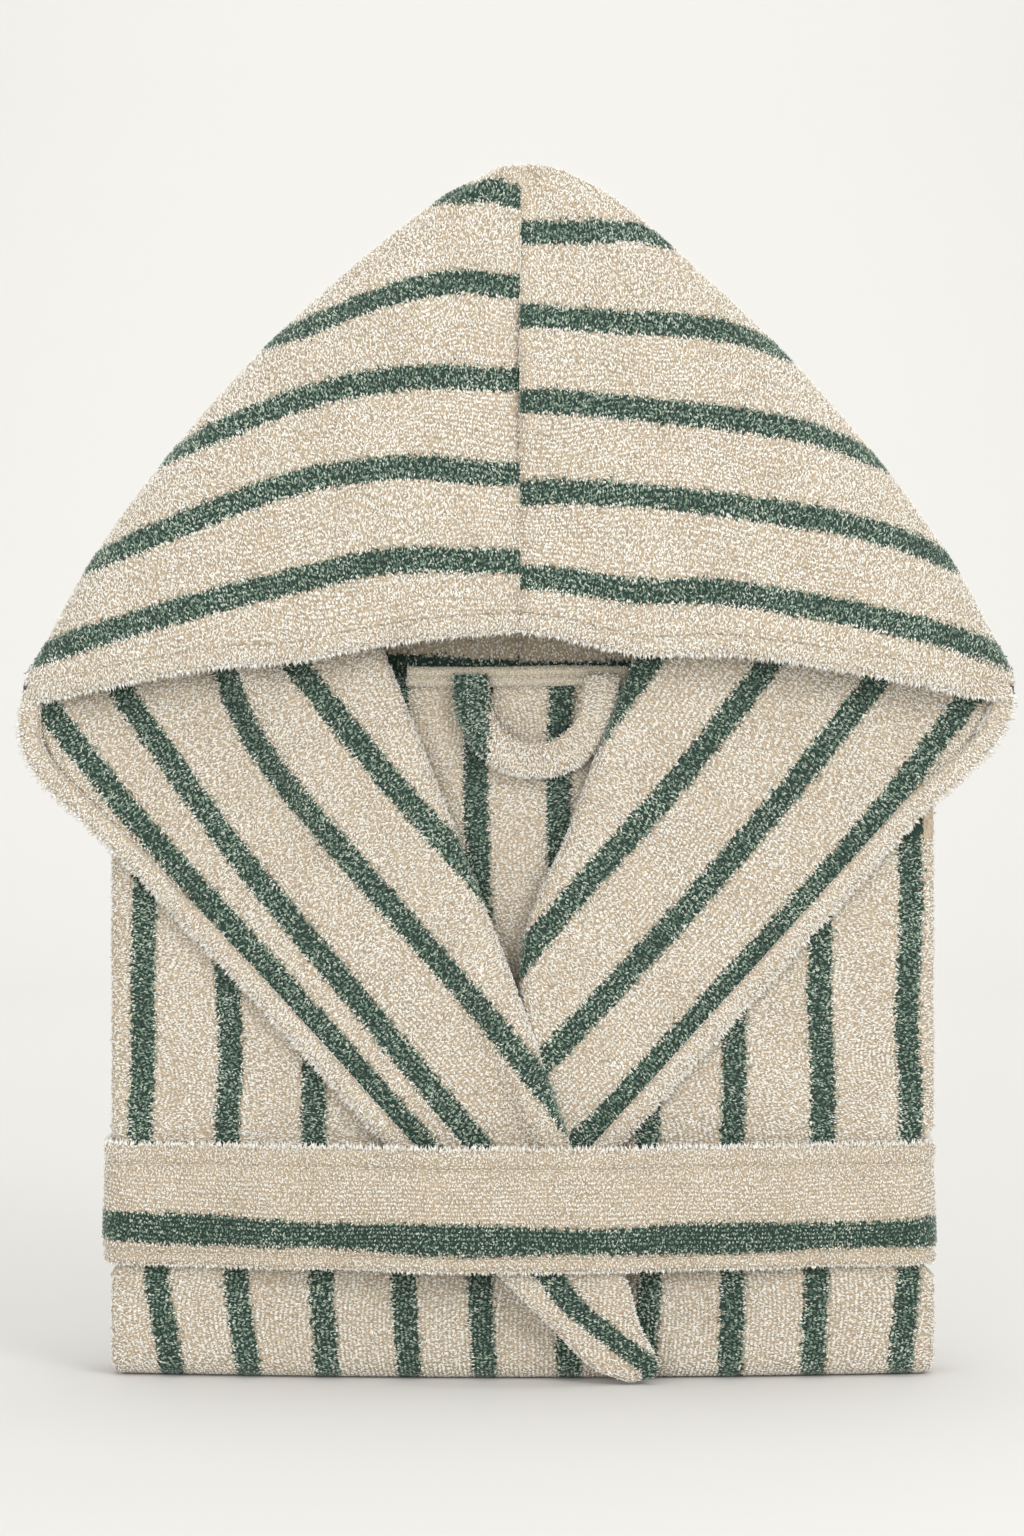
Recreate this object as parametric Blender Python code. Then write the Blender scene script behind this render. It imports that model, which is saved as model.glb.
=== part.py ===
"""A child's hooded terry robe, folded and belted, standing on its lower fold.

The front faces -Y, +Z is up, and the origin is at the middle of the base.
The body is a U: front and back panels run down the front, round the bottom
fold and up the back, with the folded sleeves between the two halves.
"""
from math import cos, pi, sin, sqrt

import bmesh
import bpy

# ------------------------------------------------------------------ driving dimensions (metres)
HALF_WIDTH = 0.1645        # folded body, centre to side edge
DEPTH_MID = 0.0300         # half the depth of the folded stack, at its middle
DEPTH_SIDE = 0.0175        # half the depth of the folded stack, at its sides
STACK_Y = 0.00745          # mid-plane of the folded stack
FOLD_RADIUS = 0.0100       # outer radius of the bottom fold, front and back
NECK_HEIGHT = 0.2830       # neck seam above the base
NECK_HALF = 0.0520         # half the width of the neck seam
SHOULDER_SLOPE = 0.28      # fall of the shoulder line, per metre outwards
SKIRT_TOP = 0.2500         # where the folded-up lower half ends, at the back
HEM_BAND = 0.0120          # height of the bottom hem
V_POINT = (-0.002, 0.165)  # where the two lapels cross, x and z
V_INSET = 0.0055           # how far the fronts' edges lie back under the lapels
CLOTH = 0.0050             # thickness of one layer of terry
GAP = 0.0004               # air between neighbouring pieces
EDGE_ROUND = 0.0030        # rounding of the body's side edges

HOOD_PEAK = 0.4890         # height of the hood's tip
HOOD_FRONT = 0.2990        # height of the hood's front edge, at the centre seam
CORNER_HEIGHT = 0.2720     # height of the hood's corners
CORNER_HALF = 0.2000       # centre to hood corner
FOLD_PLANE = -0.0180       # depth of the hood's side folds from the stack's mid-plane
ROLL_WIDTH = 0.0080        # width of a rolled hem
ROLL_DEPTH = 0.0065        # thickness of a rolled hem

BELT_LOW = 0.0455          # lower edge of the belt
BELT_HEIGHT = 0.0480
BELT_THICK = 0.0045
BELT_SIDE = 0.1650         # centre to the belt's inner face at the sides
LAP = 0.041                # how far the left front laps past the centre, and the right one under it
LAP_STEP = 0.0045          # width of the step where the lapped layers begin
LAP_SHARE = 0.115          # thickness of one lapped front, as a share of the half depth
FRONT_SHARE = 0.230        # thickness of the fronts, as a share of the half depth
BACK_SHARES = (0.245, 0.470)     # where the back panel lies, as shares of the half depth
PINCH = 0.015              # how much the belt narrows the body, as a share of its width
TAIL_HINGE = 0.0425        # height at which the belt's tail bends
LOOP_HINGE = (-0.0285, 0.2800)   # y from the mid-plane, and z, of the hanger loop's sewn ends

CREAM = (0.78, 0.71, 0.60, 1.0)
CREAM_DARK = (0.70, 0.63, 0.52, 1.0)
GREEN = (0.09, 0.20, 0.16, 1.0)


# ------------------------------------------------------------------ small helpers
def clear_scene():
    for item in list(bpy.data.objects):
        bpy.data.objects.remove(item, do_unlink=True)


def smooth_step(low, high, value):
    """0 at low, 1 at high, with a soft start and end."""
    t = min(max((value - low) / (high - low), 0.0), 1.0)
    return t * t * (3.0 - 2.0 * t)


def mix(a, b, t):
    return a + (b - a) * t


def along(points, t):
    """Point at fraction t of a smooth curve through the given points."""
    last = len(points) - 1
    place = min(max(t, 0.0), 1.0) * last
    i = min(int(place), last - 1)
    u = place - i
    p1, p2 = points[i], points[i + 1]
    p0 = points[i - 1] if i > 0 else [2 * a - b for a, b in zip(p1, p2)]
    p3 = points[i + 2] if i + 2 <= last else [2 * b - a for a, b in zip(p1, p2)]
    return [0.5 * (2 * b + (c - a) * u + (2 * a - 5 * b + 4 * c - d) * u * u
                   + (3 * b - a - 3 * c + d) * u ** 3)
            for a, b, c, d in zip(p0, p1, p2, p3)]


def terry(name, color):
    """A rough cloth material of one colour."""
    material = bpy.data.materials.new(name)
    material.use_nodes = True
    shader = material.node_tree.nodes["Principled BSDF"]
    shader.inputs["Base Color"].default_value = color
    shader.inputs["Roughness"].default_value = 0.95
    shader.inputs["Metallic"].default_value = 0.0
    return material


def add_object(name, bm, color, origin=(0.0, 0.0, 0.0)):
    """Turns a bmesh in world coordinates into a named object with its origin where it pivots."""
    bmesh.ops.recalc_face_normals(bm, faces=bm.faces)
    bmesh.ops.translate(bm, verts=bm.verts, vec=[-c for c in origin])
    mesh = bpy.data.meshes.new(name)
    bm.to_mesh(mesh)
    bm.free()
    mesh.shade_smooth()
    mesh.set_sharp_from_angle(angle=0.9)
    item = bpy.data.objects.new(name, mesh)
    item.location = origin
    mesh.materials.append(terry(name + "_cloth", color))
    bpy.context.scene.collection.objects.link(item)
    return item


def slab(name, outer, inner, color, origin=(0.0, 0.0, 0.0)):
    """A closed sheet between two grids of points of the same size, given in stack coordinates."""
    bm = bmesh.new()
    grids = [[[bm.verts.new((x, y + STACK_Y, z)) for x, y, z in row] for row in grid]
             for grid in (outer, inner)]
    rows, cols = len(outer), len(outer[0])
    for grid in grids:
        for i in range(rows - 1):
            for j in range(cols - 1):
                bm.faces.new((grid[i][j], grid[i][j + 1], grid[i + 1][j + 1], grid[i + 1][j]))
    rim = [(0, j) for j in range(cols)]
    rim += [(i, cols - 1) for i in range(1, rows)]
    rim += [(rows - 1, j) for j in range(cols - 2, -1, -1)]
    rim += [(i, 0) for i in range(rows - 2, 0, -1)]
    for k, (i, j) in enumerate(rim):
        m, n = rim[(k + 1) % len(rim)]
        bm.faces.new((grids[0][i][j], grids[0][m][n], grids[1][m][n], grids[1][i][j]))
    return add_object(name, bm, color, origin)


def band(name, path, across, width, depth, color, closed=False, origin=(0.0, 0.0, 0.0), sides=8):
    """A flat band with rounded edges along a path; across is its width direction at each point."""
    bm = bmesh.new()
    count = len(path)
    rings = []
    for k, (point, wide) in enumerate(zip(path, across)):
        before = path[k - 1] if (closed or k > 0) else point
        after = path[(k + 1) % count] if (closed or k < count - 1) else point
        tangent = unit([a - b for a, b in zip(after, before)])
        wide = unit([w - tangent[i] * dot(wide, tangent) for i, w in enumerate(wide)])
        thin = cross(tangent, wide)
        ring = []
        for n in range(sides):
            angle = 2 * pi * (n + 0.5) / sides
            u = width / 2 * softened(cos(angle))
            v = depth / 2 * softened(sin(angle))
            x, y, z = [point[i] + wide[i] * u + thin[i] * v for i in range(3)]
            ring.append(bm.verts.new((x, y + STACK_Y, z)))
        rings.append(ring)
    for k in range(count if closed else count - 1):
        first, second = rings[k], rings[(k + 1) % count]
        for n in range(sides):
            bm.faces.new((first[n], first[(n + 1) % sides], second[(n + 1) % sides], second[n]))
    if not closed:
        bm.faces.new(rings[0])
        bm.faces.new(rings[-1])
    return add_object(name, bm, color, origin)


def softened(value):
    """Squares up a circle's cosine or sine, so that a section is flat with round corners."""
    return (abs(value) ** 0.6) * (1 if value >= 0 else -1)


def dot(a, b):
    return sum(p * q for p, q in zip(a, b))


def cross(a, b):
    return [a[1] * b[2] - a[2] * b[1], a[2] * b[0] - a[0] * b[2], a[0] * b[1] - a[1] * b[0]]


def unit(a):
    length = sqrt(dot(a, a))
    return [c / length for c in a]


# ------------------------------------------------------------------ the folded stack
def half_depth(x):
    """Half the stack's depth: a lens, thicker in the middle where the fronts overlap."""
    share = min(abs(x) / HALF_WIDTH, 1.0)
    return DEPTH_SIDE + (DEPTH_MID - DEPTH_SIDE) * (1 - share * share)


def pinched(x, z):
    """The belt draws the sides in a little around the waist."""
    return x * (1 - PINCH * smooth_step(0.018, 0.038, z) * (1 - smooth_step(0.122, 0.150, z)))


def edge_drop(x):
    """How far a layer's outer face turns in at the side edge."""
    over = min(max((abs(x) - HALF_WIDTH + EDGE_ROUND) / EDGE_ROUND, 0.0), 1.0)
    return EDGE_ROUND * 0.75 * (1 - sqrt(1 - over * over))


FRONT_STEPS, TURN_STEPS, FLAT_STEPS = 9, 3, 2


def fold_row(x, share, drop, z_front, z_back):
    """One layer's points down the front, round the bottom fold and up the back.

    share is the layer's distance in from the outer face, as a share of the half depth.
    """
    depth = half_depth(x)
    inset = share * depth + drop
    radius = max(FOLD_RADIUS - inset, 0.0015)
    low = inset + radius
    turn_y = depth - inset - radius
    points = [(-(depth - inset), mix(z_front, low, i / FRONT_STEPS)) for i in range(FRONT_STEPS)]
    points += [(-turn_y - radius * cos(a), low - radius * sin(a))
               for a in (pi / 2 * i / TURN_STEPS for i in range(TURN_STEPS))]
    points += [(mix(-turn_y, turn_y, i / FLAT_STEPS), inset) for i in range(FLAT_STEPS)]
    points += [(turn_y + radius * sin(a), low - radius * cos(a))
               for a in (pi / 2 * i / TURN_STEPS for i in range(TURN_STEPS))]
    points += [(depth - inset, mix(low, z_back, i / FRONT_STEPS)) for i in range(FRONT_STEPS + 1)]
    return [(pinched(x, z), y, z) for y, z in points]


def shoulder_height(x):
    return NECK_HEIGHT - max(abs(x) - NECK_HALF, 0.0) * SHOULDER_SLOPE


def v_height(x, side):
    """Height of a front panel's turned-back edge at x; each one crosses the centre at the V."""
    steepness = 2.60 if side < 0 else 2.45
    return V_POINT[1] + steepness * (side * (x - V_POINT[0]) - V_INSET)


def side_columns(start, stop, steps, lap=None):
    """Column positions from start to the side edge, closer together where the edge turns.

    lap is where a step in the layers lies; it gets a column on each side.
    """
    flat_end = stop - EDGE_ROUND
    columns = []
    if lap is not None:
        columns = [mix(start, lap, i / 5) for i in range(6)]
        start = lap + LAP_STEP
    columns += [mix(start, flat_end, i / steps) for i in range(steps + 1)]
    columns += [flat_end + EDGE_ROUND * sin(pi / 2 * i / 3) for i in (1, 2, 3)]
    return columns


def make_front_panel(side):
    """One front, from the shoulder to the bottom hem; the left one laps over the right one."""
    name = "front_panel_left" if side < 0 else "front_panel_right"
    outer, inner = [], []
    start = -LAP if side < 0 else 0.001 - LAP
    step_at = LAP if side < 0 else LAP + 0.001
    for reach in side_columns(start, HALF_WIDTH, 8, step_at):
        x = side * reach
        top = min(v_height(x, side), shoulder_height(x))
        beyond = reach > step_at + 0.001
        near = 0.0 if side < 0 or beyond else LAP_SHARE + 0.015
        far = LAP_SHARE if side < 0 and not beyond else FRONT_SHARE
        outer.append(fold_row(x, near, edge_drop(x), top, SKIRT_TOP - GAP))
        inner.append(fold_row(x, far, 0.0, top, SKIRT_TOP - GAP))
    slab(name, outer, inner, CREAM)


def make_back_panel():
    """The back, just inside the fronts; its inside shows in the V of the neck."""
    reaches = side_columns(0.0, HALF_WIDTH, 9)
    columns = [-r for r in reversed(reaches)] + reaches[1:]
    outer, inner = [], []
    for x in columns:
        top = shoulder_height(x)
        outer.append(fold_row(x, BACK_SHARES[0], 0.0, top, SKIRT_TOP + HEM_BAND))
        inner.append(fold_row(x, BACK_SHARES[1], -edge_drop(x), top, SKIRT_TOP + HEM_BAND))
    slab("back_panel", outer, inner, CREAM_DARK)


def make_bottom_hem():
    """The skirt's lower hem, at the top of the folded-up half."""
    reaches = side_columns(0.0, HALF_WIDTH, 8)
    columns = [-r for r in reversed(reaches)] + reaches[1:]
    heights = [mix(SKIRT_TOP, SKIRT_TOP + HEM_BAND, i / 2) for i in range(3)]
    outer = [[(x, half_depth(x) + 0.0008 - edge_drop(x), z) for z in heights] for x in columns]
    inner = [[(x, half_depth(x) * 0.77, z) for z in heights] for x in columns]
    slab("bottom_hem", outer, inner, CREAM)


def make_core_piece(name, side, low, top_share, high, margin):
    """A flattened tube of cloth between the two halves of the stack."""
    inner_x, outer_x = 0.0020, HALF_WIDTH - margin
    columns = [mix(inner_x, outer_x, i / 8) for i in range(9)]
    faces = []
    for sign in (-1, 1):
        grid = []
        for x in columns:
            ease = min((x - inner_x) / 0.006, (outer_x - x) / 0.006, 1.0)
            depth = half_depth(x) * mix(0.36, 0.505, sqrt(max(ease, 0.0)))
            top = mix(high, shoulder_height(x) - 0.006, top_share)
            grid.append([(pinched(side * x, mix(low, top, i / 6)), sign * depth,
                          mix(low, top, i / 6)) for i in range(7)])
        faces.append(grid)
    slab(name, faces[0], faces[1], CREAM_DARK)


def make_sleeves():
    """Each sleeve hangs straight down inside the stack, with its turned-up cuff at the bottom."""
    for side, word in ((-1, "left"), (1, "right")):
        make_core_piece("sleeve_" + word, side, 0.0760, 1.0, 0.0, 0.0045)
        make_core_piece("cuff_" + word, side, 0.0200, 0.0, 0.0750, 0.0045)


def make_pockets():
    """A patch pocket on each front, low on the skirt, so behind and upside down."""
    for side, word in ((-1, "left"), (1, "right")):
        columns = [side * mix(0.056, 0.138, i / 6) for i in range(7)]
        heights = [mix(0.0215, 0.1300, i / 5) for i in range(6)]
        outer = [[(x, half_depth(x) + 0.0040, z) for z in heights] for x in columns]
        inner = [[(x, half_depth(x) + GAP, z) for z in heights] for x in columns]
        slab("pocket_" + word, outer, inner, CREAM)


# ------------------------------------------------------------------ neck
def make_neck_tape():
    """The tape that covers the neck seam, inside."""
    columns = [mix(-0.0455, 0.0435, i / 6) for i in range(7)]
    heights = [0.2745, 0.2785, 0.2825]
    outer = [[(x, -0.755 * half_depth(x) - 0.0032, z) for z in heights] for x in columns]
    inner = [[(x, -0.755 * half_depth(x) - GAP, z) for z in heights] for x in columns]
    slab("neck_tape", outer, inner, CREAM_DARK)


def make_hanger_loop():
    """A strap sewn to the neck tape at both ends, that hangs down in a U."""
    left_end, right_end, drop = -0.0160, 0.0300, 0.0300
    middle, reach = (left_end + right_end) / 2, (right_end - left_end) / 2
    path, across = [], []
    for i in range(21):
        angle = pi * i / 20
        x = middle - reach * cos(angle)
        z = LOOP_HINGE[1] - drop * sin(angle) ** 0.8
        path.append([x, LOOP_HINGE[0] - 0.0010 * sin(angle), z])
        across.append([cos(angle) * 0.9, -0.35 * sin(angle), sin(angle) + 0.12])
    band("hanger_loop", path, across, 0.0120, 0.0034, CREAM,
         origin=(middle, LOOP_HINGE[0] + STACK_Y, LOOP_HINGE[1]))


# ------------------------------------------------------------------ lapels
HEM_LINE = {-1: [(-0.1640, 0.2130), (-0.1000, 0.1425), (-0.0355, 0.0750)],
            1: [(0.1640, 0.2210), (0.0960, 0.1490), (0.0370, 0.0900)]}
ROLL_LINE = {-1: [(-0.0560, 0.2960), (-0.0020, 0.1650), (0.0290, 0.0750)],
             1: [(0.0500, 0.2960), (-0.0040, 0.1650), (0.0150, 0.0900)]}
CORNER_LINE = {-1: [(-0.1640, 0.2130), (-0.1930, 0.2430), (-0.2000, 0.2640)],
               1: [(0.1640, 0.2210), (0.1920, 0.2470), (0.2000, 0.2660)]}


def edge_point(line, t, inset, side):
    """Point on an edge line, moved in from the edge by inset, in the front view."""
    x, z = along(line, t)
    x2, z2 = along(line, min(t + 0.01, 1.0))
    x1, z1 = along(line, max(t - 0.01, 0.0))
    length = sqrt((x2 - x1) ** 2 + (z2 - z1) ** 2)
    tx, tz = (x2 - x1) / length, (z2 - z1) / length
    turn = -1 if (tz * side > 0) == (side > 0) else 1
    nx, nz = turn * tz, -turn * tx
    if nx * side > 0:
        nx, nz = -nx, -nz
    return x + nx * inset, z + nz * inset


def lapel_face(x, layer=0.0):
    """Depth of the surface that a lapel lies on."""
    return -(half_depth(x) + GAP + layer)


def lift_over(side, x, z, b):
    """The left lapel's folded edge rides up over the right lapel, below the V."""
    if side > 0:
        return 0.0
    return 0.0056 * smooth_step(0.72, 0.86, b) * (1 - smooth_step(0.167, 0.192, z))


def make_lapel(side):
    """The turned-out front edge, from the hood down to under the belt."""
    word = "left" if side < 0 else "right"
    outer, inner = [], []
    for i in range(13):
        t = i / 12
        start = edge_point(HEM_LINE[side], t, ROLL_WIDTH + GAP, side)
        stop = along(ROLL_LINE[side], t)
        front_row, back_row = [], []
        for j in range(11):
            b = j / 10
            x, z = mix(start[0], stop[0], b), mix(start[1], stop[1], b)
            back = lapel_face(x) - lift_over(side, x, z, b)
            thick = CLOTH * (0.55 + 0.45 * sqrt(1 - abs(2 * b - 1) ** 5))
            front_row.append((x, back - thick, z))
            back_row.append((x, back, z))
        outer.append(front_row)
        inner.append(back_row)
    slab("lapel_" + word, outer, inner, CREAM)

    path, across = [], []
    for i in range(15):
        t = i / 14
        x, z = edge_point(HEM_LINE[side], t, ROLL_WIDTH / 2, side)
        path.append([x, lapel_face(x) - ROLL_DEPTH / 2, z])
        across.append([side * 0.72, 0.0, -0.69])
    band("lapel_hem_" + word, path, across, ROLL_WIDTH - GAP, ROLL_DEPTH, CREAM)


# ------------------------------------------------------------------ hood
OUTLINE = [(0.2000, 0.2720), (0.1935, 0.2880), (0.1740, 0.3250), (0.1450, 0.3660),
           (0.1080, 0.4110), (0.0700, 0.4480), (0.0350, 0.4760), (0.0140, 0.4860)]
SEAM_HEIGHTS = [(0.2990,), (0.3240,), (0.3600,), (0.3970,), (0.4330,), (0.4590,), (0.4790,), (0.4880,)]
HOOD_ROWS, HOOD_COLUMNS = 15, 10


def hood_level(h):
    """Side fold, seam heights and depths of the hood at level h, 0 at its edge, 1 at its tip."""
    fold_x, fold_z = along(OUTLINE, h)
    seam_z = along(SEAM_HEIGHTS, h)[0]
    back_z = mix(NECK_HEIGHT + 0.0018, seam_z, smooth_step(0.0, 0.45, h))
    close = smooth_step(0.0, 1.0, h) ** 1.2
    front = mix(0.0360, 0.0060, close)
    back = mix(0.0075, 0.0058, close)
    plane = mix(FOLD_PLANE, -0.0150, h)
    return fold_x, fold_z, seam_z, back_z, front, back, plane


def hood_point(side, h, f, face, inset, lift=0.0):
    """Point of the hood: f is 0 at the centre seam and 1 at the side fold.

    face is -1 on the front layer and 1 on the back layer; inset goes in from the outer face.
    """
    fold_x, fold_z, seam_z, back_z, front, back, plane = hood_level(h)
    seam_z = seam_z if face < 0 else back_z
    power = mix(1.35, 2.2, smooth_step(0.0, 0.3, h))
    x = GAP + (fold_x - inset - GAP) * f
    z = seam_z - (seam_z - fold_z) * f ** power + lift * (1 - smooth_step(0.0, 0.25, h))
    bulge = sqrt(max(1 - f ** 3, 0.0))
    if face < 0:
        y = plane - max(front - inset, 0.0003) * bulge
    else:
        y = plane + max(back - inset, 0.0003) * bulge
        y -= 0.0050 * (1 - smooth_step(0.0, 0.2, h)) * (1 - f * f)
    return side * x, y, z


def make_hood_panel(side):
    """Half of the hood: from the front seam, round the side fold, to the back seam."""
    word = "left" if side < 0 else "right"
    places = [(-1, sin(pi / 2 * j / HOOD_COLUMNS)) for j in range(HOOD_COLUMNS + 1)]
    places += [(1, sin(pi / 2 * j / HOOD_COLUMNS)) for j in range(HOOD_COLUMNS - 1, -1, -1)]
    outer, inner = [], []
    for i in range(HOOD_ROWS + 1):
        h = i / HOOD_ROWS
        rows = []
        for inset in (0.0, 0.0052):
            rows.append([hood_point(side, h, f, face, inset,
                                    ROLL_WIDTH + GAP if face < 0 and f < 1 else 0.0)
                         for face, f in places])
        outer.append(rows[0])
        inner.append(rows[1])
    slab("hood_panel_" + word, outer, inner, CREAM)


def hood_edge(side, t):
    """Middle of the hood's rolled hem: along the front edge, round the corner, down the facing."""
    turn = 0.70
    if t <= turn:
        f = sin(pi / 2 * t / turn * 0.86)
        x, y, z = hood_point(side, 0.0, f, -1, 0.0026)
        return [x, y, z + ROLL_WIDTH / 2]
    u = (t - turn) / (1 - turn)
    x, z = edge_point(list(reversed(CORNER_LINE[side])), 0.97 * u, ROLL_WIDTH / 2, side)
    y = mix(-0.0270, lapel_face(x) - ROLL_DEPTH / 2, smooth_step(0.0, 0.6, u))
    return [x, y, z]


def make_hood_hem(side):
    word = "left" if side < 0 else "right"
    count = 34
    path = [hood_edge(side, i / count) for i in range(count + 1)]
    across = []
    for i in range(count + 1):
        down = smooth_step(0.60, 0.85, i / count)
        across.append([side * mix(0.0, 0.85, down), 0.0, mix(1.0, -0.45, down)])
    band("hood_hem_" + word, path, across, ROLL_WIDTH - GAP, ROLL_DEPTH, CREAM)


def make_hood_facing(side):
    """The inside of the hood's lower side, turned out below the corner."""
    word = "left" if side < 0 else "right"
    top_line = [(side * 0.0650, 0.2955), (side * 0.1250, 0.2890), (side * 0.1830, 0.2770)]
    outer, inner = [], []
    for i in range(9):
        t = i / 8
        start = edge_point(CORNER_LINE[side], mix(0.006, 1.0, t), ROLL_WIDTH + 2 * GAP, side)
        stop = along(top_line, t)
        front_row, back_row = [], []
        for j in range(8):
            b = j / 7
            x, z = mix(start[0], stop[0], b), mix(start[1], stop[1], b)
            back = lapel_face(x, 0.0008)
            front_row.append((x, back - CLOTH * 0.9, z))
            back_row.append((x, back, z))
        outer.append(front_row)
        inner.append(back_row)
    slab("hood_facing_" + word, outer, inner, CREAM)


def make_hood_tape():
    """The tape over the centre seam, inside the hood's front layer."""
    outer, inner = [], []
    for i in range(12):
        h = mix(0.06, 0.72, i / 11)
        _, y, z = hood_point(1, h, 0.0, -1, 0.0052)
        outer.append([(x, y + 0.0006, z) for x in (-0.0055, 0.0, 0.0055)])
        inner.append([(x, y + 0.0020, z) for x in (-0.0055, 0.0, 0.0055)])
    slab("hood_seam_tape", outer, inner, CREAM_DARK)


# ------------------------------------------------------------------ belt
def belt_front(x):
    """Depth of the belt's inner face in front: it runs over the lapels, then over the body."""
    over_lapels = 0.0066 * (1 - smooth_step(0.090, 0.125, abs(x)))
    over_crossing = 0.0100 * (1 - smooth_step(0.030, 0.075, abs(x)))
    return half_depth(x) + 0.0008 + over_lapels + over_crossing


def belt_path():
    """The belt's inner face as a closed loop seen from above."""
    corner_x, corner_y, start = BELT_SIDE - 0.154, 0.0100, 0.154
    front = [(mix(-start, start, i / 22), -belt_front(mix(-start, start, i / 22))) for i in range(23)]
    points = list(front)
    top = -belt_front(start)
    points += [(start + corner_x * sin(a), top + corner_y * (1 - cos(a)))
               for a in (pi / 2 * i / 3 for i in (1, 2, 3))]
    rear = half_depth(start) + 0.0052
    points.append((BELT_SIDE, 0.0020))
    points += [(start + corner_x * cos(a), rear - corner_y * (1 - sin(a)))
               for a in (pi / 2 * i / 3 for i in (0, 1, 2))]
    points += [(mix(start, -start, i / 14), half_depth(mix(start, -start, i / 14)) + 0.0052)
               for i in range(15)]
    points += [(-start - corner_x * sin(a), rear - corner_y * (1 - cos(a)))
               for a in (pi / 2 * i / 3 for i in (1, 2, 3))]
    points.append((-BELT_SIDE, 0.0020))
    points += [(-start - corner_x * cos(a), top + corner_y * (1 - sin(a)))
               for a in (pi / 2 * i / 3 for i in (0, 1, 2))]
    return points


def make_belt():
    """The belt, once round the bundle."""
    loop = belt_path()
    count = len(loop)
    path = []
    for k, (x, y) in enumerate(loop):
        ax, ay = loop[k - 1]
        bx, by = loop[(k + 1) % count]
        length = sqrt((bx - ax) ** 2 + (by - ay) ** 2)
        nx, ny = (by - ay) / length, -(bx - ax) / length
        path.append([x + nx * BELT_THICK / 2, y + ny * BELT_THICK / 2, BELT_LOW + BELT_HEIGHT / 2])
    band("belt_band", path, [[0.0, 0.0, 1.0]] * count, BELT_HEIGHT, BELT_THICK, CREAM,
         closed=True, sides=8)


def tail_depth(x, z):
    """Back face of the belt's free end: in front of the lapels above, close to the body below."""
    return -(half_depth(x) + mix(0.0030, 0.0115, smooth_step(0.008, 0.040, z)))


def make_belt_tail():
    """The belt's free end: tucked behind the band, then hanging down in front of the body."""
    def sheet(name, left, right, rows, origin):
        outer, inner = [], []
        for i in range(rows + 1):
            t = i / rows
            (lx, lz), (rx, rz) = along(left, t), along(right, t)
            row = []
            for j in range(7):
                x, z = mix(lx, rx, j / 6), mix(lz, rz, j / 6)
                row.append((x, tail_depth(x, z), z))
            inner.append(row)
            outer.append([(x, y - BELT_THICK, z) for x, y, z in row])
        slab(name, outer, inner, CREAM, origin)

    hinge = (0.022, tail_depth(0.022, TAIL_HINGE) - BELT_THICK / 2 + STACK_Y, TAIL_HINGE)
    sheet("belt_tail_tuck", [(-0.034, 0.0720), (-0.0085, 0.0452)], [(0.026, 0.0735), (0.0440, 0.0452)],
          4, (0.0, 0.0, 0.0))
    sheet("belt_tail", [(-0.0060, 0.0418), (0.0200, 0.0200), (0.0420, 0.0040), (0.0470, 0.0022)],
          [(0.0450, 0.0418), (0.0500, 0.0240), (0.0545, 0.0090), (0.0525, 0.0032)], 8, hinge)


def make_belt_carriers():
    """The loops on the side seams that the belt is threaded through when the robe is worn."""
    for side, word in ((-1, "left"), (1, "right")):
        heights = [mix(0.0385, 0.1010, i / 6) for i in range(7)]
        near = HALF_WIDTH * (1 - PINCH) + 0.0003
        outer = [[(side * (near + 0.0019), y, z) for z in heights] for y in (-0.0095, -0.0030)]
        inner = [[(side * near, y, z) for z in heights] for y in (-0.0095, -0.0030)]
        slab("belt_carrier_" + word, outer, inner, CREAM_DARK)


def main():
    clear_scene()
    for side in (-1, 1):
        make_front_panel(side)
        make_lapel(side)
        make_hood_panel(side)
        make_hood_hem(side)
        make_hood_facing(side)
    make_back_panel()
    make_bottom_hem()
    make_sleeves()
    make_pockets()
    make_neck_tape()
    make_hanger_loop()
    make_hood_tape()
    make_belt()
    make_belt_tail()
    make_belt_carriers()


main()
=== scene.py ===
"""Looks of the folded hooded robe: striped terry cloth with its pile, hems, stitches, belt and light.

Every layer of cloth is a closed sheet between two grids of points, placed by the same driving
dimensions as the frame.  The pile is real geometry: small spindle-shaped strands, combed across
the stripes, each in one of a few plain shades.
"""
from math import pi

import bpy
import numpy as np
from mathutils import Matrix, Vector


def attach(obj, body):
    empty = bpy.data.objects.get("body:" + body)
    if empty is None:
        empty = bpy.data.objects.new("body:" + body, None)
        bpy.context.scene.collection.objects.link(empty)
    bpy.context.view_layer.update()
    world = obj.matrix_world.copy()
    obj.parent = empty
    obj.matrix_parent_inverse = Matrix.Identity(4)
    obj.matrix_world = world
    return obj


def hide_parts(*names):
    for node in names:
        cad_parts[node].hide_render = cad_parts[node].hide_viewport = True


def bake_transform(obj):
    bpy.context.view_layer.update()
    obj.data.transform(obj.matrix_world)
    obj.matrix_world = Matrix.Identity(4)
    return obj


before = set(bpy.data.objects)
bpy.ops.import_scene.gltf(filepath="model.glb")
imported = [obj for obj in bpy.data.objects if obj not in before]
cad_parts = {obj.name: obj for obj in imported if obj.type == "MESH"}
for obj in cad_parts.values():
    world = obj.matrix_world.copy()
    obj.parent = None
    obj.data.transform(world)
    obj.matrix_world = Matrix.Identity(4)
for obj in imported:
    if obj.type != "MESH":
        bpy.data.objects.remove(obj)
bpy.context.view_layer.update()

# ------------------------------------------------------------------ driving dimensions (metres)
HALF_WIDTH = 0.1645        # folded body, centre to side edge
DEPTH_MID = 0.0300         # half the depth of the folded stack, at its middle
DEPTH_SIDE = 0.0175        # half the depth of the folded stack, at its sides
STACK_Y = 0.00745          # mid-plane of the folded stack
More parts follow.
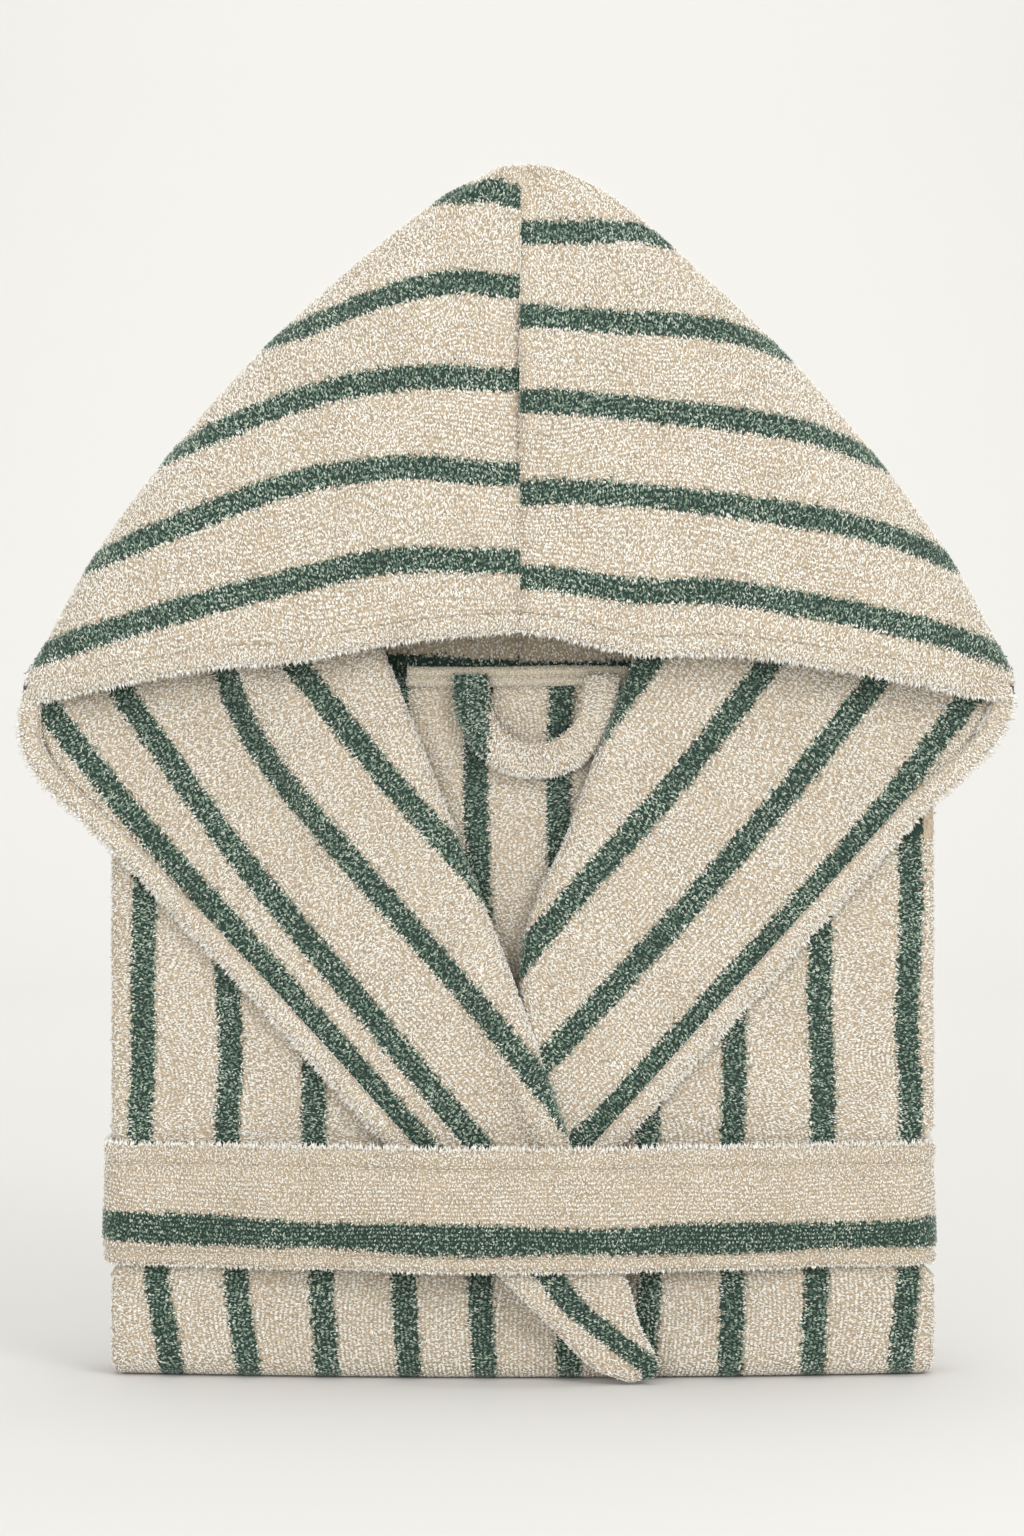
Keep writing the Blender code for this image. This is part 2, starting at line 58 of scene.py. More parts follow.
FOLD_RADIUS = 0.0100       # outer radius of the bottom fold, front and back
NECK_HEIGHT = 0.2830       # of the body's layers, between the shoulders
NECK_HALF = 0.0520
SHOULDER_SLOPE = 0.28
SKIRT_TOP = 0.2500         # where the folded-up lower half ends, at the back
HEM_BAND = 0.0120          # height of the bottom hem above it
V_POINT = (-0.002, 0.165)  # where the two lapels cross, x and z
V_INSET = 0.0055           # from that place to the edges of the fronts
CLOTH = 0.0050             # thickness of one layer of terry
HOOD_CLOTH = 0.0052
GAP = 0.0004               # between two layers
SEAM_GAP = 0.0001          # from the hood's centre seam to each half of the hood
EDGE_ROUND = 0.0045        # the layers turn in so far at their side edge
FLAT_END = HALF_WIDTH - EDGE_ROUND
FOLD_PLANE = -0.0180       # depth of the hood's side folds from the stack's mid-plane
ROLL_WIDTH = 0.0080        # a rolled hem
ROLL_DEPTH = 0.0065
SEAM_TUCK = 0.0007         # how far a cloth is tucked into its hem
BELT_LOW = 0.0455
BELT_HEIGHT = 0.0480
BELT_THICK = 0.0045
BELT_SIDE = 0.1650
BELT_TRAVEL = 0.0280       # how much of the cloth behind the belt shows once the belt has slid up
BELT_SEAMS = (BELT_LOW + BELT_HEIGHT - 0.0075, BELT_LOW + 0.0048)
LAP = 0.041                # how far each front reaches over the middle
LAP_STEP = 0.0045          # width of the step beside the lap
LAP_SHARE = 0.115          # depths of the layers' faces, as shares of the half depth
FRONT_SHARE = 0.230
BACK_SHARES = (0.245, 0.470)
CORE_MARGIN = 0.0030       # how far the folded sleeves stay inside the stack's side edge
CUFF_TOP = 0.0750          # where the cuffs end and the sleeves start, in the bundle
PINCH = 0.015              # how much the belt narrows the bundle
PINCH_ENDS = (0.0375, 0.1015)  # heights where it does so no longer
POCKET_X = (0.056, 0.138)  # a pocket's sides, from the centre
POCKET_Z = (0.0215, 0.1300)
CARRIER_Y = (-0.0095, -0.0030)
CARRIER_Z = (0.0385, 0.1010)
LOOP_TOP = (-0.0285, 0.2835)  # where the hanger loop is sewn on, y from the mid-plane and z
FLOOR = -0.0006
SIDES = {-1: "left", 1: "right"}  # as seen in the front view

STRIPE_HALF = 0.0050       # half the width of a woven stripe
BODY_STRIPES = {-1: [-0.1528, -0.1182, -0.0832, -0.0490, -0.0160, 0.0215],
                1: [0.0512, 0.0860, 0.1212, 0.1578]}
BODY_SHRINK = {-1: 0.070, 1: 0.018}      # how far the stripes draw in towards the bottom fold
BACK_STRIPES = [0.0162 + 0.0334 * k for k in range(-4, 4)]
HOOD_STRIPES = {-1: [0.3242, 0.3635, 0.4011, 0.4381, 0.4756],
                1: [0.3168, 0.3548, 0.3910, 0.4265, 0.4624]}
LAPEL_STRIPES = {
    -1: [[(-0.2010, 0.2830), (-0.1576, 0.2284), (-0.0952, 0.1592), (-0.0280, 0.0830)],
         [(-0.1660, 0.2840), (-0.1176, 0.2164), (-0.0704, 0.1592), (-0.0085, 0.0850)],
         [(-0.1240, 0.3000), (-0.1060, 0.2560), (-0.0652, 0.2056), (-0.0072, 0.1392), (0.0360, 0.0830)],
         [(-0.1020, 0.3020), (-0.0538, 0.2428), (-0.0128, 0.1964), (0.0300, 0.1400)]],
    1: [[(0.0605, 0.3000), (0.0298, 0.2592), (0.0040, 0.2220)],
        [(0.1100, 0.3010), (0.0636, 0.2416), (0.0135, 0.1852), (-0.0220, 0.1400)],
        [(0.1600, 0.3020), (0.1080, 0.2372), (0.0588, 0.1808), (-0.0050, 0.1130)],
        [(0.2000, 0.3000), (0.1468, 0.2300), (0.0812, 0.1568), (0.0100, 0.0810)]]}

STRAND_LIMIT = 33000       # strands in one piece of pile
FRONT_DENSITY = 1.22e6     # strands per square metre, where the cloth faces forward
BACK_DENSITY = 0.62e6
# coarser strands, for the back of the bundle and for rims and inner faces
BACK_STRAND = {"reach": 0.0017, "half": 0.00042}
RIM_STRAND = {"reach": 0.0016, "half": 0.0004}
ROW_SPACE = 0.0017         # between rows of loops, across the comb
ROW_PULL = 0.70            # how far a strand is drawn to its row
SWING = 0.60               # spread of the strands' directions, in radians
SCATTER = (0.7548776662, 0.5698402910)   # steps of an even scatter in two directions
FRINGE_DENSITY = 1500      # strands per metre of edge
CAMERA_PLACE = (-0.0032, -1.630, 0.2460)
CAMERA_LENS = 93.7


# ------------------------------------------------------------------ helpers on arrays
def smooth_step(low, high, value):
    t = np.clip((np.asarray(value, float) - low) / (high - low), 0.0, 1.0)
    return t * t * (3.0 - 2.0 * t)


def mix(a, b, t):
    return a + (b - a) * t


def along(points, t):
    """Points at the fractions t of a smooth curve through the given points."""
    points = np.asarray(points, float)
    last = len(points) - 1
    place = np.clip(np.asarray(t, float), 0.0, 1.0) * last
    i = np.minimum(place.astype(int), last - 1)
    u = (place - i)[..., None]
    longer = np.vstack([2 * points[0] - points[1], points, 2 * points[-1] - points[-2]])
    a, b, c, d = (longer[i + k] for k in range(4))
    return 0.5 * (2 * b + (c - a) * u + (2 * a - 5 * b + 4 * c - d) * u ** 2
                  + (3 * b - a - 3 * c + d) * u ** 3)


def unit(v):
    return v / np.maximum(np.linalg.norm(v, axis=-1, keepdims=True), 1e-12)


def eased(count, even=0.0):
    """Fractions from 0 to 1, closer together near both ends the less even they are."""
    return mix(0.5 - 0.5 * np.cos(pi * np.arange(count) / (count - 1)), np.arange(count) / (count - 1), even)


def strip(count, even=0.0):
    """The same from -1 to 1, for the rows across a strip."""
    plain = np.linspace(-1, 1, count)
    return mix(np.sin(pi / 2 * plain), plain, even)


def lengths(line):
    """Distance of each point of a line from its start, along it."""
    return np.concatenate([[0], np.cumsum(np.linalg.norm(np.diff(line, axis=0), axis=1))])


def read_at(place, line, values):
    """Values that belong to the points of a line, at other distances along it."""
    reached = lengths(line)
    return np.stack([np.interp(place, reached, column) for column in values.T], 1)


def evenly(line, count):
    """The same line, with its points at equal distances."""
    return read_at(np.linspace(0, lengths(line)[-1], count), line, line)


def smoothed(line, times):
    """The line with its corners rounded off; its two ends stay."""
    for _ in range(times):
        line[1:-1] = (line[:-2] + 2 * line[1:-1] + line[2:]) / 4
    return line


def x_at_height(z, curve):
    """x of a curve of the front view at a height; the curve runs downwards."""
    line = along(curve, np.linspace(0, 1, 80))
    return np.interp(z, line[::-1, 1], line[::-1, 0])


def stack(x, y, z):
    """Grid of world points from coordinates measured from the stack's mid-plane."""
    x, y, z = np.broadcast_arrays(x, y, z)
    return np.stack([x, y + STACK_Y, z], axis=-1).astype(float)


def rounded(distance, radius):
    """How far a surface has turned in, at a distance from an edge of that radius."""
    into = np.clip(radius - distance, 0.0, radius)
    return radius - np.sqrt(np.maximum(radius ** 2 - into ** 2, 0.0))


def wave(a, b, phase):
    """A soft irregular swell between -1 and 1, about 60 to 150 mm long."""
    return (np.sin(47 * a + 21 * b + phase) + 0.7 * np.sin(-29 * a + 63 * b + 2.3 * phase)
            + 0.5 * np.sin(88 * a - 35 * b + 4.1 * phase)) / 2.2


def srgb(red, green, blue):
    """Linear colour from the values a paint chart gives."""
    values = [c / 255 for c in (red, green, blue)]
    return [c / 12.92 if c <= 0.04045 else ((c + 0.055) / 1.055) ** 2.4 for c in values] + [1.0]


def random_stream(name):
    """Random numbers that are the same each run, one stream for each piece."""
    return np.random.default_rng(sum((i + 1) * ord(c) for i, c in enumerate(name)))


# ------------------------------------------------------------------ pattern on a grid
def fields_from_levels(points, level, centres):
    """Distance to the nearest stripe, and the direction across the stripes, at each point."""
    du, dv = np.gradient(points, axis=(0, 1))
    su, sv = np.gradient(level, axis=(0, 1))
    a, b, c = (du * du).sum(-1), (du * dv).sum(-1), (dv * dv).sum(-1)
    area = np.maximum(a * c - b * b, 1e-16)
    slope = ((c * su - b * sv) / area)[..., None] * du + ((a * sv - b * su) / area)[..., None] * dv
    steepness = np.maximum(np.linalg.norm(slope, axis=-1), 0.3)
    gap = np.abs(level[..., None] - np.asarray(centres)).min(-1) / steepness
    return gap, unit(slope)


def fields_from_curves(points, curves):
    """The same for stripes that are given as curves in the front view."""
    nearest = np.full(points.shape[:2], 1.0)
    across = np.zeros(points.shape[:2] + (2,))
    for curve in curves:
        line = along(curve, np.linspace(0, 1, 70))
        offset = points[..., None, (0, 2)] - line
        square = (offset ** 2).sum(-1)
        k = square.argmin(-1)
        distance = np.sqrt(square.min(-1))
        tangent = unit(np.gradient(line, axis=0))[k]
        normal = np.stack([-tangent[..., 1], tangent[..., 0]], -1)
        across += normal / (distance ** 2 + 1e-5)[..., None]
        nearest = np.minimum(nearest, distance)
    across = unit(across)
    return nearest, unit(np.stack([across[..., 0], 0 * nearest, across[..., 1]], -1))


def plain_fields(points, direction=(0, 0, 1)):
    """The same for a cloth without stripes, combed in one direction."""
    return np.full(points.shape[:2], 1.0), np.zeros(points.shape) + direction


# ------------------------------------------------------------------ materials
def plain_material(name, color, sheen=0.35, roughness=0.92, specular=0.2):
    """One shade of yarn, or of paper."""
    material = bpy.data.materials.new(name)
    material.use_nodes = True
    inputs = material.node_tree.nodes["Principled BSDF"].inputs
    inputs["Base Color"].default_value = color
    inputs["Roughness"].default_value = roughness
    inputs["Sheen Weight"].default_value = sheen
    inputs["Sheen Roughness"].default_value = 0.5
    inputs["Specular IOR Level"].default_value = specular
    return material


def woven_terry(name, ground, stripe, grain=850.0):
    """The ground weave under the pile: striped, speckled with painted shade round each loop and a painted
    highlight on its top.
    """
    material = plain_material(name, ground)
    tree = material.node_tree
    shader = tree.nodes["Principled BSDF"]

    def add(kind, output, inputs, **settings):
        """Adds a node and returns an output; an input is a value or another node's output."""
        node = tree.nodes.new("ShaderNode" + kind)
        for key, value in settings.items():
            setattr(node, key, value)
        for key, value in inputs.items():
            if isinstance(value, bpy.types.NodeSocket):
                tree.links.new(value, node.inputs[key])
            else:
                node.inputs[key].default_value = value
        return node.outputs[output]

    rest = add("Attribute", "Vector", {}, attribute_name="rest")
    gap = add("Attribute", "Fac", {}, attribute_name="stripe")
    ragged = add("TexNoise", "Fac", {"Vector": rest, "Scale": 700.0})
    edge = add("MapRange", "Result", {"Value": ragged, "From Min": 0.35, "From Max": 0.65,
                                      "To Min": -0.0009, "To Max": 0.0009})
    moved = add("Math", "Value", {0: gap, 1: edge}, operation="ADD")
    inside = add("MapRange", "Result", {"Value": moved, "From Min": STRIPE_HALF + 0.0004,
                                        "From Max": STRIPE_HALF - 0.0004}, interpolation_type="SMOOTHSTEP")
    yarn = add("Mix", 2, {0: inside, 6: ground, 7: stripe}, data_type="RGBA")
    loops = add("TexVoronoi", "Distance", {"Vector": rest, "Scale": grain}, feature="F1")
    # painted shade and highlight: lighter at the middle of each loop, darker towards its rim
    shade = add("MapRange", "Result", {"Value": loops, "From Max": 0.85, "To Min": 1.12, "To Max": 0.62})
    worn = add("TexNoise", "Fac", {"Vector": rest, "Scale": 45.0, "Detail": 4.0})
    drift = add("MapRange", "Result", {"Value": worn, "From Min": 0.3, "From Max": 0.7,
                                       "To Min": 0.93, "To Max": 1.05})
    both = add("Math", "Value", {0: shade, 1: drift}, operation="MULTIPLY")
    tinted = add("VectorMath", "Vector", {0: yarn, "Scale": both}, operation="SCALE")
    normal = add("Bump", "Normal", {"Strength": 0.8, "Distance": 0.0006, "Height": loops}, invert=True)
    tree.links.new(tinted, shader.inputs["Base Color"])
    tree.links.new(normal, shader.inputs["Normal"])
    return material


CREAM_SHADES = [srgb(255, 254, 249), srgb(252, 247, 237), srgb(245, 236, 221), srgb(224, 209, 187)]
CREAM_ODDS = [0.38, 0.34, 0.17, 0.11]
GREEN_SHADES = [srgb(212, 222, 206), srgb(150, 173, 154), srgb(92, 122, 104), srgb(46, 70, 60)]
GREEN_ODDS = [0.16, 0.36, 0.33, 0.15]
YARNS = [plain_material(f"cream_yarn_{k}", c) for k, c in enumerate(CREAM_SHADES)]
YARNS += [plain_material(f"green_yarn_{k}", c, 0.2) for k, c in enumerate(GREEN_SHADES)]
# The ground and stripe colours under the pile are darker than the yarns: painted shade for the gaps between
# the strands.
GROUND = woven_terry("terry_ground", srgb(196, 180, 156), srgb(44, 66, 56))
GROUND_PLAIN = woven_terry("hem_ground", srgb(200, 184, 160), srgb(44, 66, 56))
STRAP = woven_terry("strap_weave", srgb(220, 207, 182), srgb(50, 80, 68), 1300.0)
THREAD = plain_material("sewing_thread", srgb(244, 236, 218), 0.1)


# ------------------------------------------------------------------ meshes
def add_object(name, data):
    item = bpy.data.objects.new(name, data)
    bpy.context.scene.collection.objects.link(item)
    return item


def add_mesh(name, mesh):
    mesh.update()
    mesh.validate()
    return add_object(name, mesh)


def mesh_from_arrays(name, points, faces):
    """A mesh from an array of points and one of faces, all with the same number of corners."""
    mesh = bpy.data.meshes.new(name)
    corners = faces.shape[1]
    mesh.vertices.add(len(points))
    mesh.vertices.foreach_set("co", points.astype(np.float32).ravel())
    mesh.loops.add(faces.size)
    mesh.loops.foreach_set("vertex_index", faces.astype(np.int32).ravel())
    mesh.polygons.add(len(faces))
    mesh.polygons.foreach_set("loop_start", np.arange(0, faces.size, corners, dtype=np.int32))
    mesh.polygons.foreach_set("use_smooth", np.ones(len(faces), dtype=bool))
    return mesh


def closed_grid(rows, cols, around=False):
    """Faces of two grids joined along their rims; around closes the rows into a loop."""
    f = np.arange(rows * cols).reshape(rows, cols)
    if around:
        f = np.vstack([f, f[:1]])
    g = f + rows * cols

    def quads(*corners):
        return np.stack([c.ravel() for c in corners], 1)

    parts = [quads(f[:-1, :-1], f[:-1, 1:], f[1:, 1:], f[1:, :-1]),
             quads(g[:-1, :-1], g[1:, :-1], g[1:, 1:], g[:-1, 1:]),
             quads(f[:-1, 0], f[1:, 0], g[1:, 0], g[:-1, 0]),
             quads(f[1:, -1], f[:-1, -1], g[:-1, -1], g[1:, -1])]
    if not around:
        parts += [quads(f[0, 1:], f[0, :-1], g[0, :-1], g[0, 1:]),
                  quads(f[-1, :-1], f[-1, 1:], g[-1, 1:], g[-1, :-1])]
    return np.vstack(parts)


class Cloth:
    """A closed layer of cloth between an outer and an inner grid, with its pattern."""

    def __init__(self, name, outer, inner, gap, comb, material=None, around=False):
        self.name, self.outer, self.inner, self.gap, self.comb = name, outer, inner, gap, comb
        faces = closed_grid(*outer.shape[:2], around)
        du, dv = np.gradient(outer, axis=(0, 1))
        if (np.cross(dv, du) * (outer - inner)).sum() < 0:
            faces = faces[:, ::-1]
        points = np.vstack([outer.reshape(-1, 3), inner.reshape(-1, 3)])
        mesh = mesh_from_arrays(name, points, faces)
        mesh.materials.append(material or GROUND)
        for label, kind, key, values in (("stripe", "FLOAT", "value", np.tile(gap.ravel(), 2)),
                                         ("rest", "FLOAT_VECTOR", "vector", points.ravel())):
            field = mesh.attributes.new(label, kind, "POINT")
            field.data.foreach_set(key, values.astype(np.float32))
        self.object = add_mesh(name, mesh)
        self.with_pieces = []


def spindles(name, roots, normals, along_, sizes, shades, materials):
    """Strands as spindles: a root, three points round the middle and a tip.

    sizes holds reach, rise and half width of each strand; shades is each strand's material.
    """
    reach, rise, half = (s[:, None] for s in sizes)
    side = unit(np.cross(normals, along_))
    run = along_ * reach + normals * rise
    sunk = roots - normals * half * 0.8
    middle = sunk + run * 0.52 + normals * half * 0.7
    points = np.stack([sunk, middle + side * half, middle + normals * half * 0.9,
                       middle - side * half, sunk + run - normals * half * 0.3], 1)
    count = len(roots)
    pattern = np.array([[1, 2, 4], [2, 3, 4], [3, 1, 4], [2, 1, 0], [3, 2, 0], [1, 3, 0]])
    faces = (np.arange(count)[:, None, None] * 5 + pattern).reshape(-1, 3)
    mesh = mesh_from_arrays(name, points.reshape(-1, 3), faces)
    for material in materials:
        mesh.materials.append(material)
    mesh.polygons.foreach_set("material_index", np.repeat(shades, 6).astype(np.int32))
    return add_mesh(name, mesh)


def yarn_shades(gap, places, stream):
    """Each strand's shade: green inside a stripe, cream outside, with ragged borders."""
    ragged = gap + stream.normal(0, 0.00045, len(gap))
    patch = 0.16 * wave(places[:, 0] * 3, places[:, 2] * 3, 1.7)
    pick = np.clip(stream.random(len(gap)) + patch, 0, 0.999)
    cream, green = (np.searchsorted(np.cumsum(odds), pick * sum(odds)) for odds in (CREAM_ODDS, GREEN_ODDS))
    return np.where(ragged < STRIPE_HALF, len(CREAM_SHADES) + green, cream)


def grow_pile(cloth, density, trim=None, points=None, reach=0.0018, rise=0.00052, half=0.00029,
              suffix="pile", gap=None, comb=None, outward=None, against=0.30, wrap=1, ends=0):
    """Covers a face of the cloth with strands; trim scales their height and leaves them out at 0.

    Without points it covers the outer face and wraps round the sides by so many columns of the
    inner face, and round the ends where ends is 1.  against is the share combed the other way.
    """
    name = f"{cloth.name}_{suffix}"
    stream = random_stream(name)
    if points is None:
        rim = ((ends, ends), (wrap, wrap))
        inner = cloth.inner
        points = np.concatenate([inner[:, wrap - 1::-1], cloth.outer, inner[:, :-wrap - 1:-1]], 1)
        if ends:
            across = np.pad(inner, ((0, 0), (wrap, wrap), (0, 0)), mode="edge")
            points = np.concatenate([across[:1], points, across[-1:]], 0)
        gap = np.pad(cloth.gap, rim, mode="edge")
        comb = np.pad(cloth.comb, rim + ((0, 0),), mode="edge")
        outward = np.pad(cloth.outer - inner, rim + ((0, 0),), mode="edge")
        if trim is not None:
            trim = np.pad(trim, rim, mode="edge")
    trim = np.ones(points.shape[:2]) if trim is None else np.asarray(trim, float)
    du, dv = np.gradient(points, axis=(0, 1))
    normals = unit(np.cross(dv, du))
    if (normals * outward).sum() < 0:
        normals = -normals
    p = points
    quad = np.linalg.norm(np.cross(p[1:, 1:] - p[:-1, :-1], p[1:, :-1] - p[:-1, 1:]), axis=-1) / 2
    kept = (trim[1:, 1:] + trim[:-1, :-1] + trim[1:, :-1] + trim[:-1, 1:]) > 0.2
    wanted = np.cumsum((quad * kept * density).ravel())
    total = int(wanted[-1])
    cell = np.searchsorted(wanted, np.arange(total) + 0.5)
    i, j = np.divmod(cell, quad.shape[1])
    number = np.arange(total)
    down, right = ((step * number + 0.15 * stream.random(total)) % 1.0 for step in SCATTER)

    def at(grid):
        u, v = (down, right) if grid.ndim == 2 else (down[:, None], right[:, None])
        top = grid[i, j] * (1 - v) + grid[i, j + 1] * v
        low = grid[i + 1, j] * (1 - v) + grid[i + 1, j + 1] * v
        return top * (1 - u) + low * u

    places, normal, direction = at(points), unit(at(normals)), at(comb)
    gaps, height = at(gap), at(trim)
    direction = unit(direction - normal * (direction * normal).sum(1, keepdims=True))
    row = (places * direction).sum(1) / ROW_SPACE
    places += direction * ((np.round(row) - row) * ROW_SPACE * ROW_PULL)[:, None]
    swing = stream.normal(0, SWING, total)
    side = np.cross(normal, direction)
    flip = np.where(stream.random(total) < against, -1.0, 1.0)[:, None]
    lean = unit(direction * flip * np.cos(swing)[:, None] + side * np.sin(swing)[:, None])
    keep = height > 0.05
    places, normal, lean, gaps, height = (a[keep] for a in (places, normal, lean, gaps, height))
    count = len(places)
    scale = np.clip(height, 0.3, 1.6)
    sizes = (reach * stream.uniform(0.75, 1.35, count) * np.sqrt(scale),
             rise * stream.uniform(0.4, 1.9, count) * scale,
             half * stream.uniform(0.8, 1.25, count))
    shades = yarn_shades(gaps, places, stream)
    for k in range(0, count, STRAND_LIMIT):
        part = slice(k, k + STRAND_LIMIT)
        label = name if count <= STRAND_LIMIT else f"{name}_{k // STRAND_LIMIT + 1}"
        cloth.with_pieces.append(spindles(label, places[part], normal[part], lean[part],
                                          [s[part] for s in sizes], shades[part], YARNS))


def grow_inner_pile(cloth, density, trim, suffix, columns=slice(None), **strand):
    """Covers the inner face of the cloth, or some columns of it."""
    grow_pile(cloth, density, trim, cloth.inner[:, columns], suffix=suffix, gap=cloth.gap[:, columns],
              comb=cloth.comb[:, columns], outward=(cloth.inner - cloth.outer)[:, columns], **strand)


def read_line(line, place, *directions):
    """Points of a line at distances along it, with the unit tangent and other directions there."""
    vectors = [np.gradient(line, axis=0)] + [np.broadcast_to(np.asarray(d, float), line.shape)
                                             for d in directions]
    return [read_at(place, line, line)] + [unit(read_at(place, line, v)) for v in vectors]


def grow_fringe(cloth, name, line, outwards, normal, reach):
    """Longer strands that stand out from an edge, along a line of points."""
    stream = random_stream(name)
    length = lengths(line)[-1]
    count = int(length * FRINGE_DENSITY)
    place = (np.arange(count) + stream.random(count)) / count * length
    roots, tangent, out, up = read_line(line, place, outwards, normal)
    lean = unit(out + tangent * stream.normal(0, 0.42, count)[:, None]
                + up * stream.uniform(-0.35, 0.45, count)[:, None])
    places = roots + up * stream.uniform(-1, 1, count)[:, None] * 0.0012
    sizes = (reach * stream.uniform(0.45, 1.3, count), np.zeros(count),
             0.00042 * stream.uniform(0.8, 1.2, count))
    cut = up - lean * (up * lean).sum(1, keepdims=True)
    shades = stream.choice(len(CREAM_SHADES), count, p=CREAM_ODDS)
    cloth.with_pieces.append(spindles(name, places, unit(cut), lean, sizes, shades, YARNS))


def sew(cloth, name, line, normal, pitch=0.0034):
    """A row of stitches along a line of points; normal points out of the cloth."""
    count = max(int(lengths(line)[-1] / pitch), 2)
    roots, tangent, up = read_line(line, np.arange(count) * pitch, normal)
    sizes = (np.full(count, pitch * 0.8), np.zeros(count), np.full(count, 0.00034))
    cloth.with_pieces.append(spindles(name, roots, up, tangent, sizes, np.zeros(count), [THREAD]))


def settle(cloth, body, replaced):
    """Fastens the cloth and all that is on it to a body; given two bodies, it only bakes their placement
    into their meshes. Hides the CAD parts it replaces.
    """
    for piece in [cloth.object] + cloth.with_pieces:
        if isinstance(body, tuple):
            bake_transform(piece)
        else:
            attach(piece, body)
    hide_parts(*replaced)


# ------------------------------------------------------------------ the folded stack
def half_depth(x):
    share = np.minimum(np.abs(x) / HALF_WIDTH, 1.0)
    return DEPTH_SIDE + (DEPTH_MID - DEPTH_SIDE) * (1 - share * share)


def pinched(x, z):
    """The belt draws the bundle in; above and below it the bundle stands out, most on the right."""
    low, high = PINCH_ENDS
    drawn = smooth_step(low, BELT_LOW, z) * (1 - smooth_step(BELT_LOW + BELT_HEIGHT, high, z))
    proud = np.where(x > 0, 0.020, 0.006) * (1 - smooth_step(0.226, 0.249, z))
    return x * (1 + mix(proud, -PINCH, drawn))


def edge_drop(x):
    return 0.75 * rounded(HALF_WIDTH - np.abs(x), EDGE_ROUND)


def shoulder_height(x):
    return NECK_HEIGHT - np.maximum(np.abs(x) - NECK_HALF, 0.0) * SHOULDER_SLOPE


def v_height(x, side):
    steepness = 2.60 if side < 0 else 2.45
    return V_POINT[1] + steepness * (side * (x - V_POINT[0]) - V_INSET)


def fold_grid(x, share, drop, z_front, z_back):
    """A layer's points down the front, round the bottom fold and up the back."""
    fine, turn, flat = 84, 7, 12
    depth = half_depth(x)
    inset = share * depth + drop
    radius = np.maximum(FOLD_RADIUS - inset, 0.0015)
    low = inset + radius
    turn_y = depth - inset - radius
    bend = pi / 2 * np.arange(turn) / turn
    rows = [(-(depth - inset), mix(z_front, low, i / fine)) for i in range(fine)]
    rows += [(-turn_y - radius * np.cos(a), low - radius * np.sin(a)) for a in bend]
    rows += [(mix(-turn_y, turn_y, i / flat), inset + 0 * x) for i in range(flat)]
    rows += [(turn_y + radius * np.sin(a), low - radius * np.cos(a)) for a in bend]
    rows += [(depth - inset, mix(low, z_back, i / fine)) for i in range(fine + 1)]
    y, z = (np.array(part) for part in zip(*rows))
    return stack(pinched(np.broadcast_to(x, y.shape), z), y, z)


def folded_layer(x, shares, drops, z_front, z_back, z_round):
    """Outer and inner face of a folded layer, rounded off at its two ends."""
    faces = []
    for share, drop, inwards in zip(shares, drops, (1, -1)):
        grid = fold_grid(x, share, drop, z_front, z_back)
        y = grid[..., 1] - STACK_Y
        to_end = np.where(y < 0, z_front - grid[..., 2], z_round - grid[..., 2])
        grid[..., 1] -= np.sign(y) * inwards * rounded(to_end, 0.0018)
        faces.append(grid)
    return faces


def round_columns(count):
    """Columns that take a layer round its side edge."""
    return FLAT_END + EDGE_ROUND * np.sin(pi / 2 * np.arange(1, count + 1) / count)


def full_width(count):
    """Columns over the whole width of the bundle."""
    reach = np.concatenate([np.linspace(0, FLAT_END, count), round_columns(4)])
    return np.concatenate([-reach[:0:-1], reach])


def behind_belt(z):
    """Heights that stay behind the belt, also when it has slid up."""
    return (z > BELT_LOW + BELT_TRAVEL) & (z < BELT_LOW + BELT_HEIGHT - 0.003)


def body_fields(points, side):
    """The pattern on the body, where the stripes draw in towards the bottom fold."""
    z = points[..., 2]
    drawn = 0.5 * (1 - smooth_step(0.040, 0.105, z)) + 0.5 * (1 - smooth_step(0.0, 0.050, z))
    wobble = 0.0007 * np.sin(points[..., 0] * 55 + z * 38) + 0.0005 * np.sin(z * 90 + side)
    level = points[..., 0] / (1 - BODY_SHRINK[side] * drawn) + wobble
    return fields_from_levels(points, level, BODY_STRIPES[side])


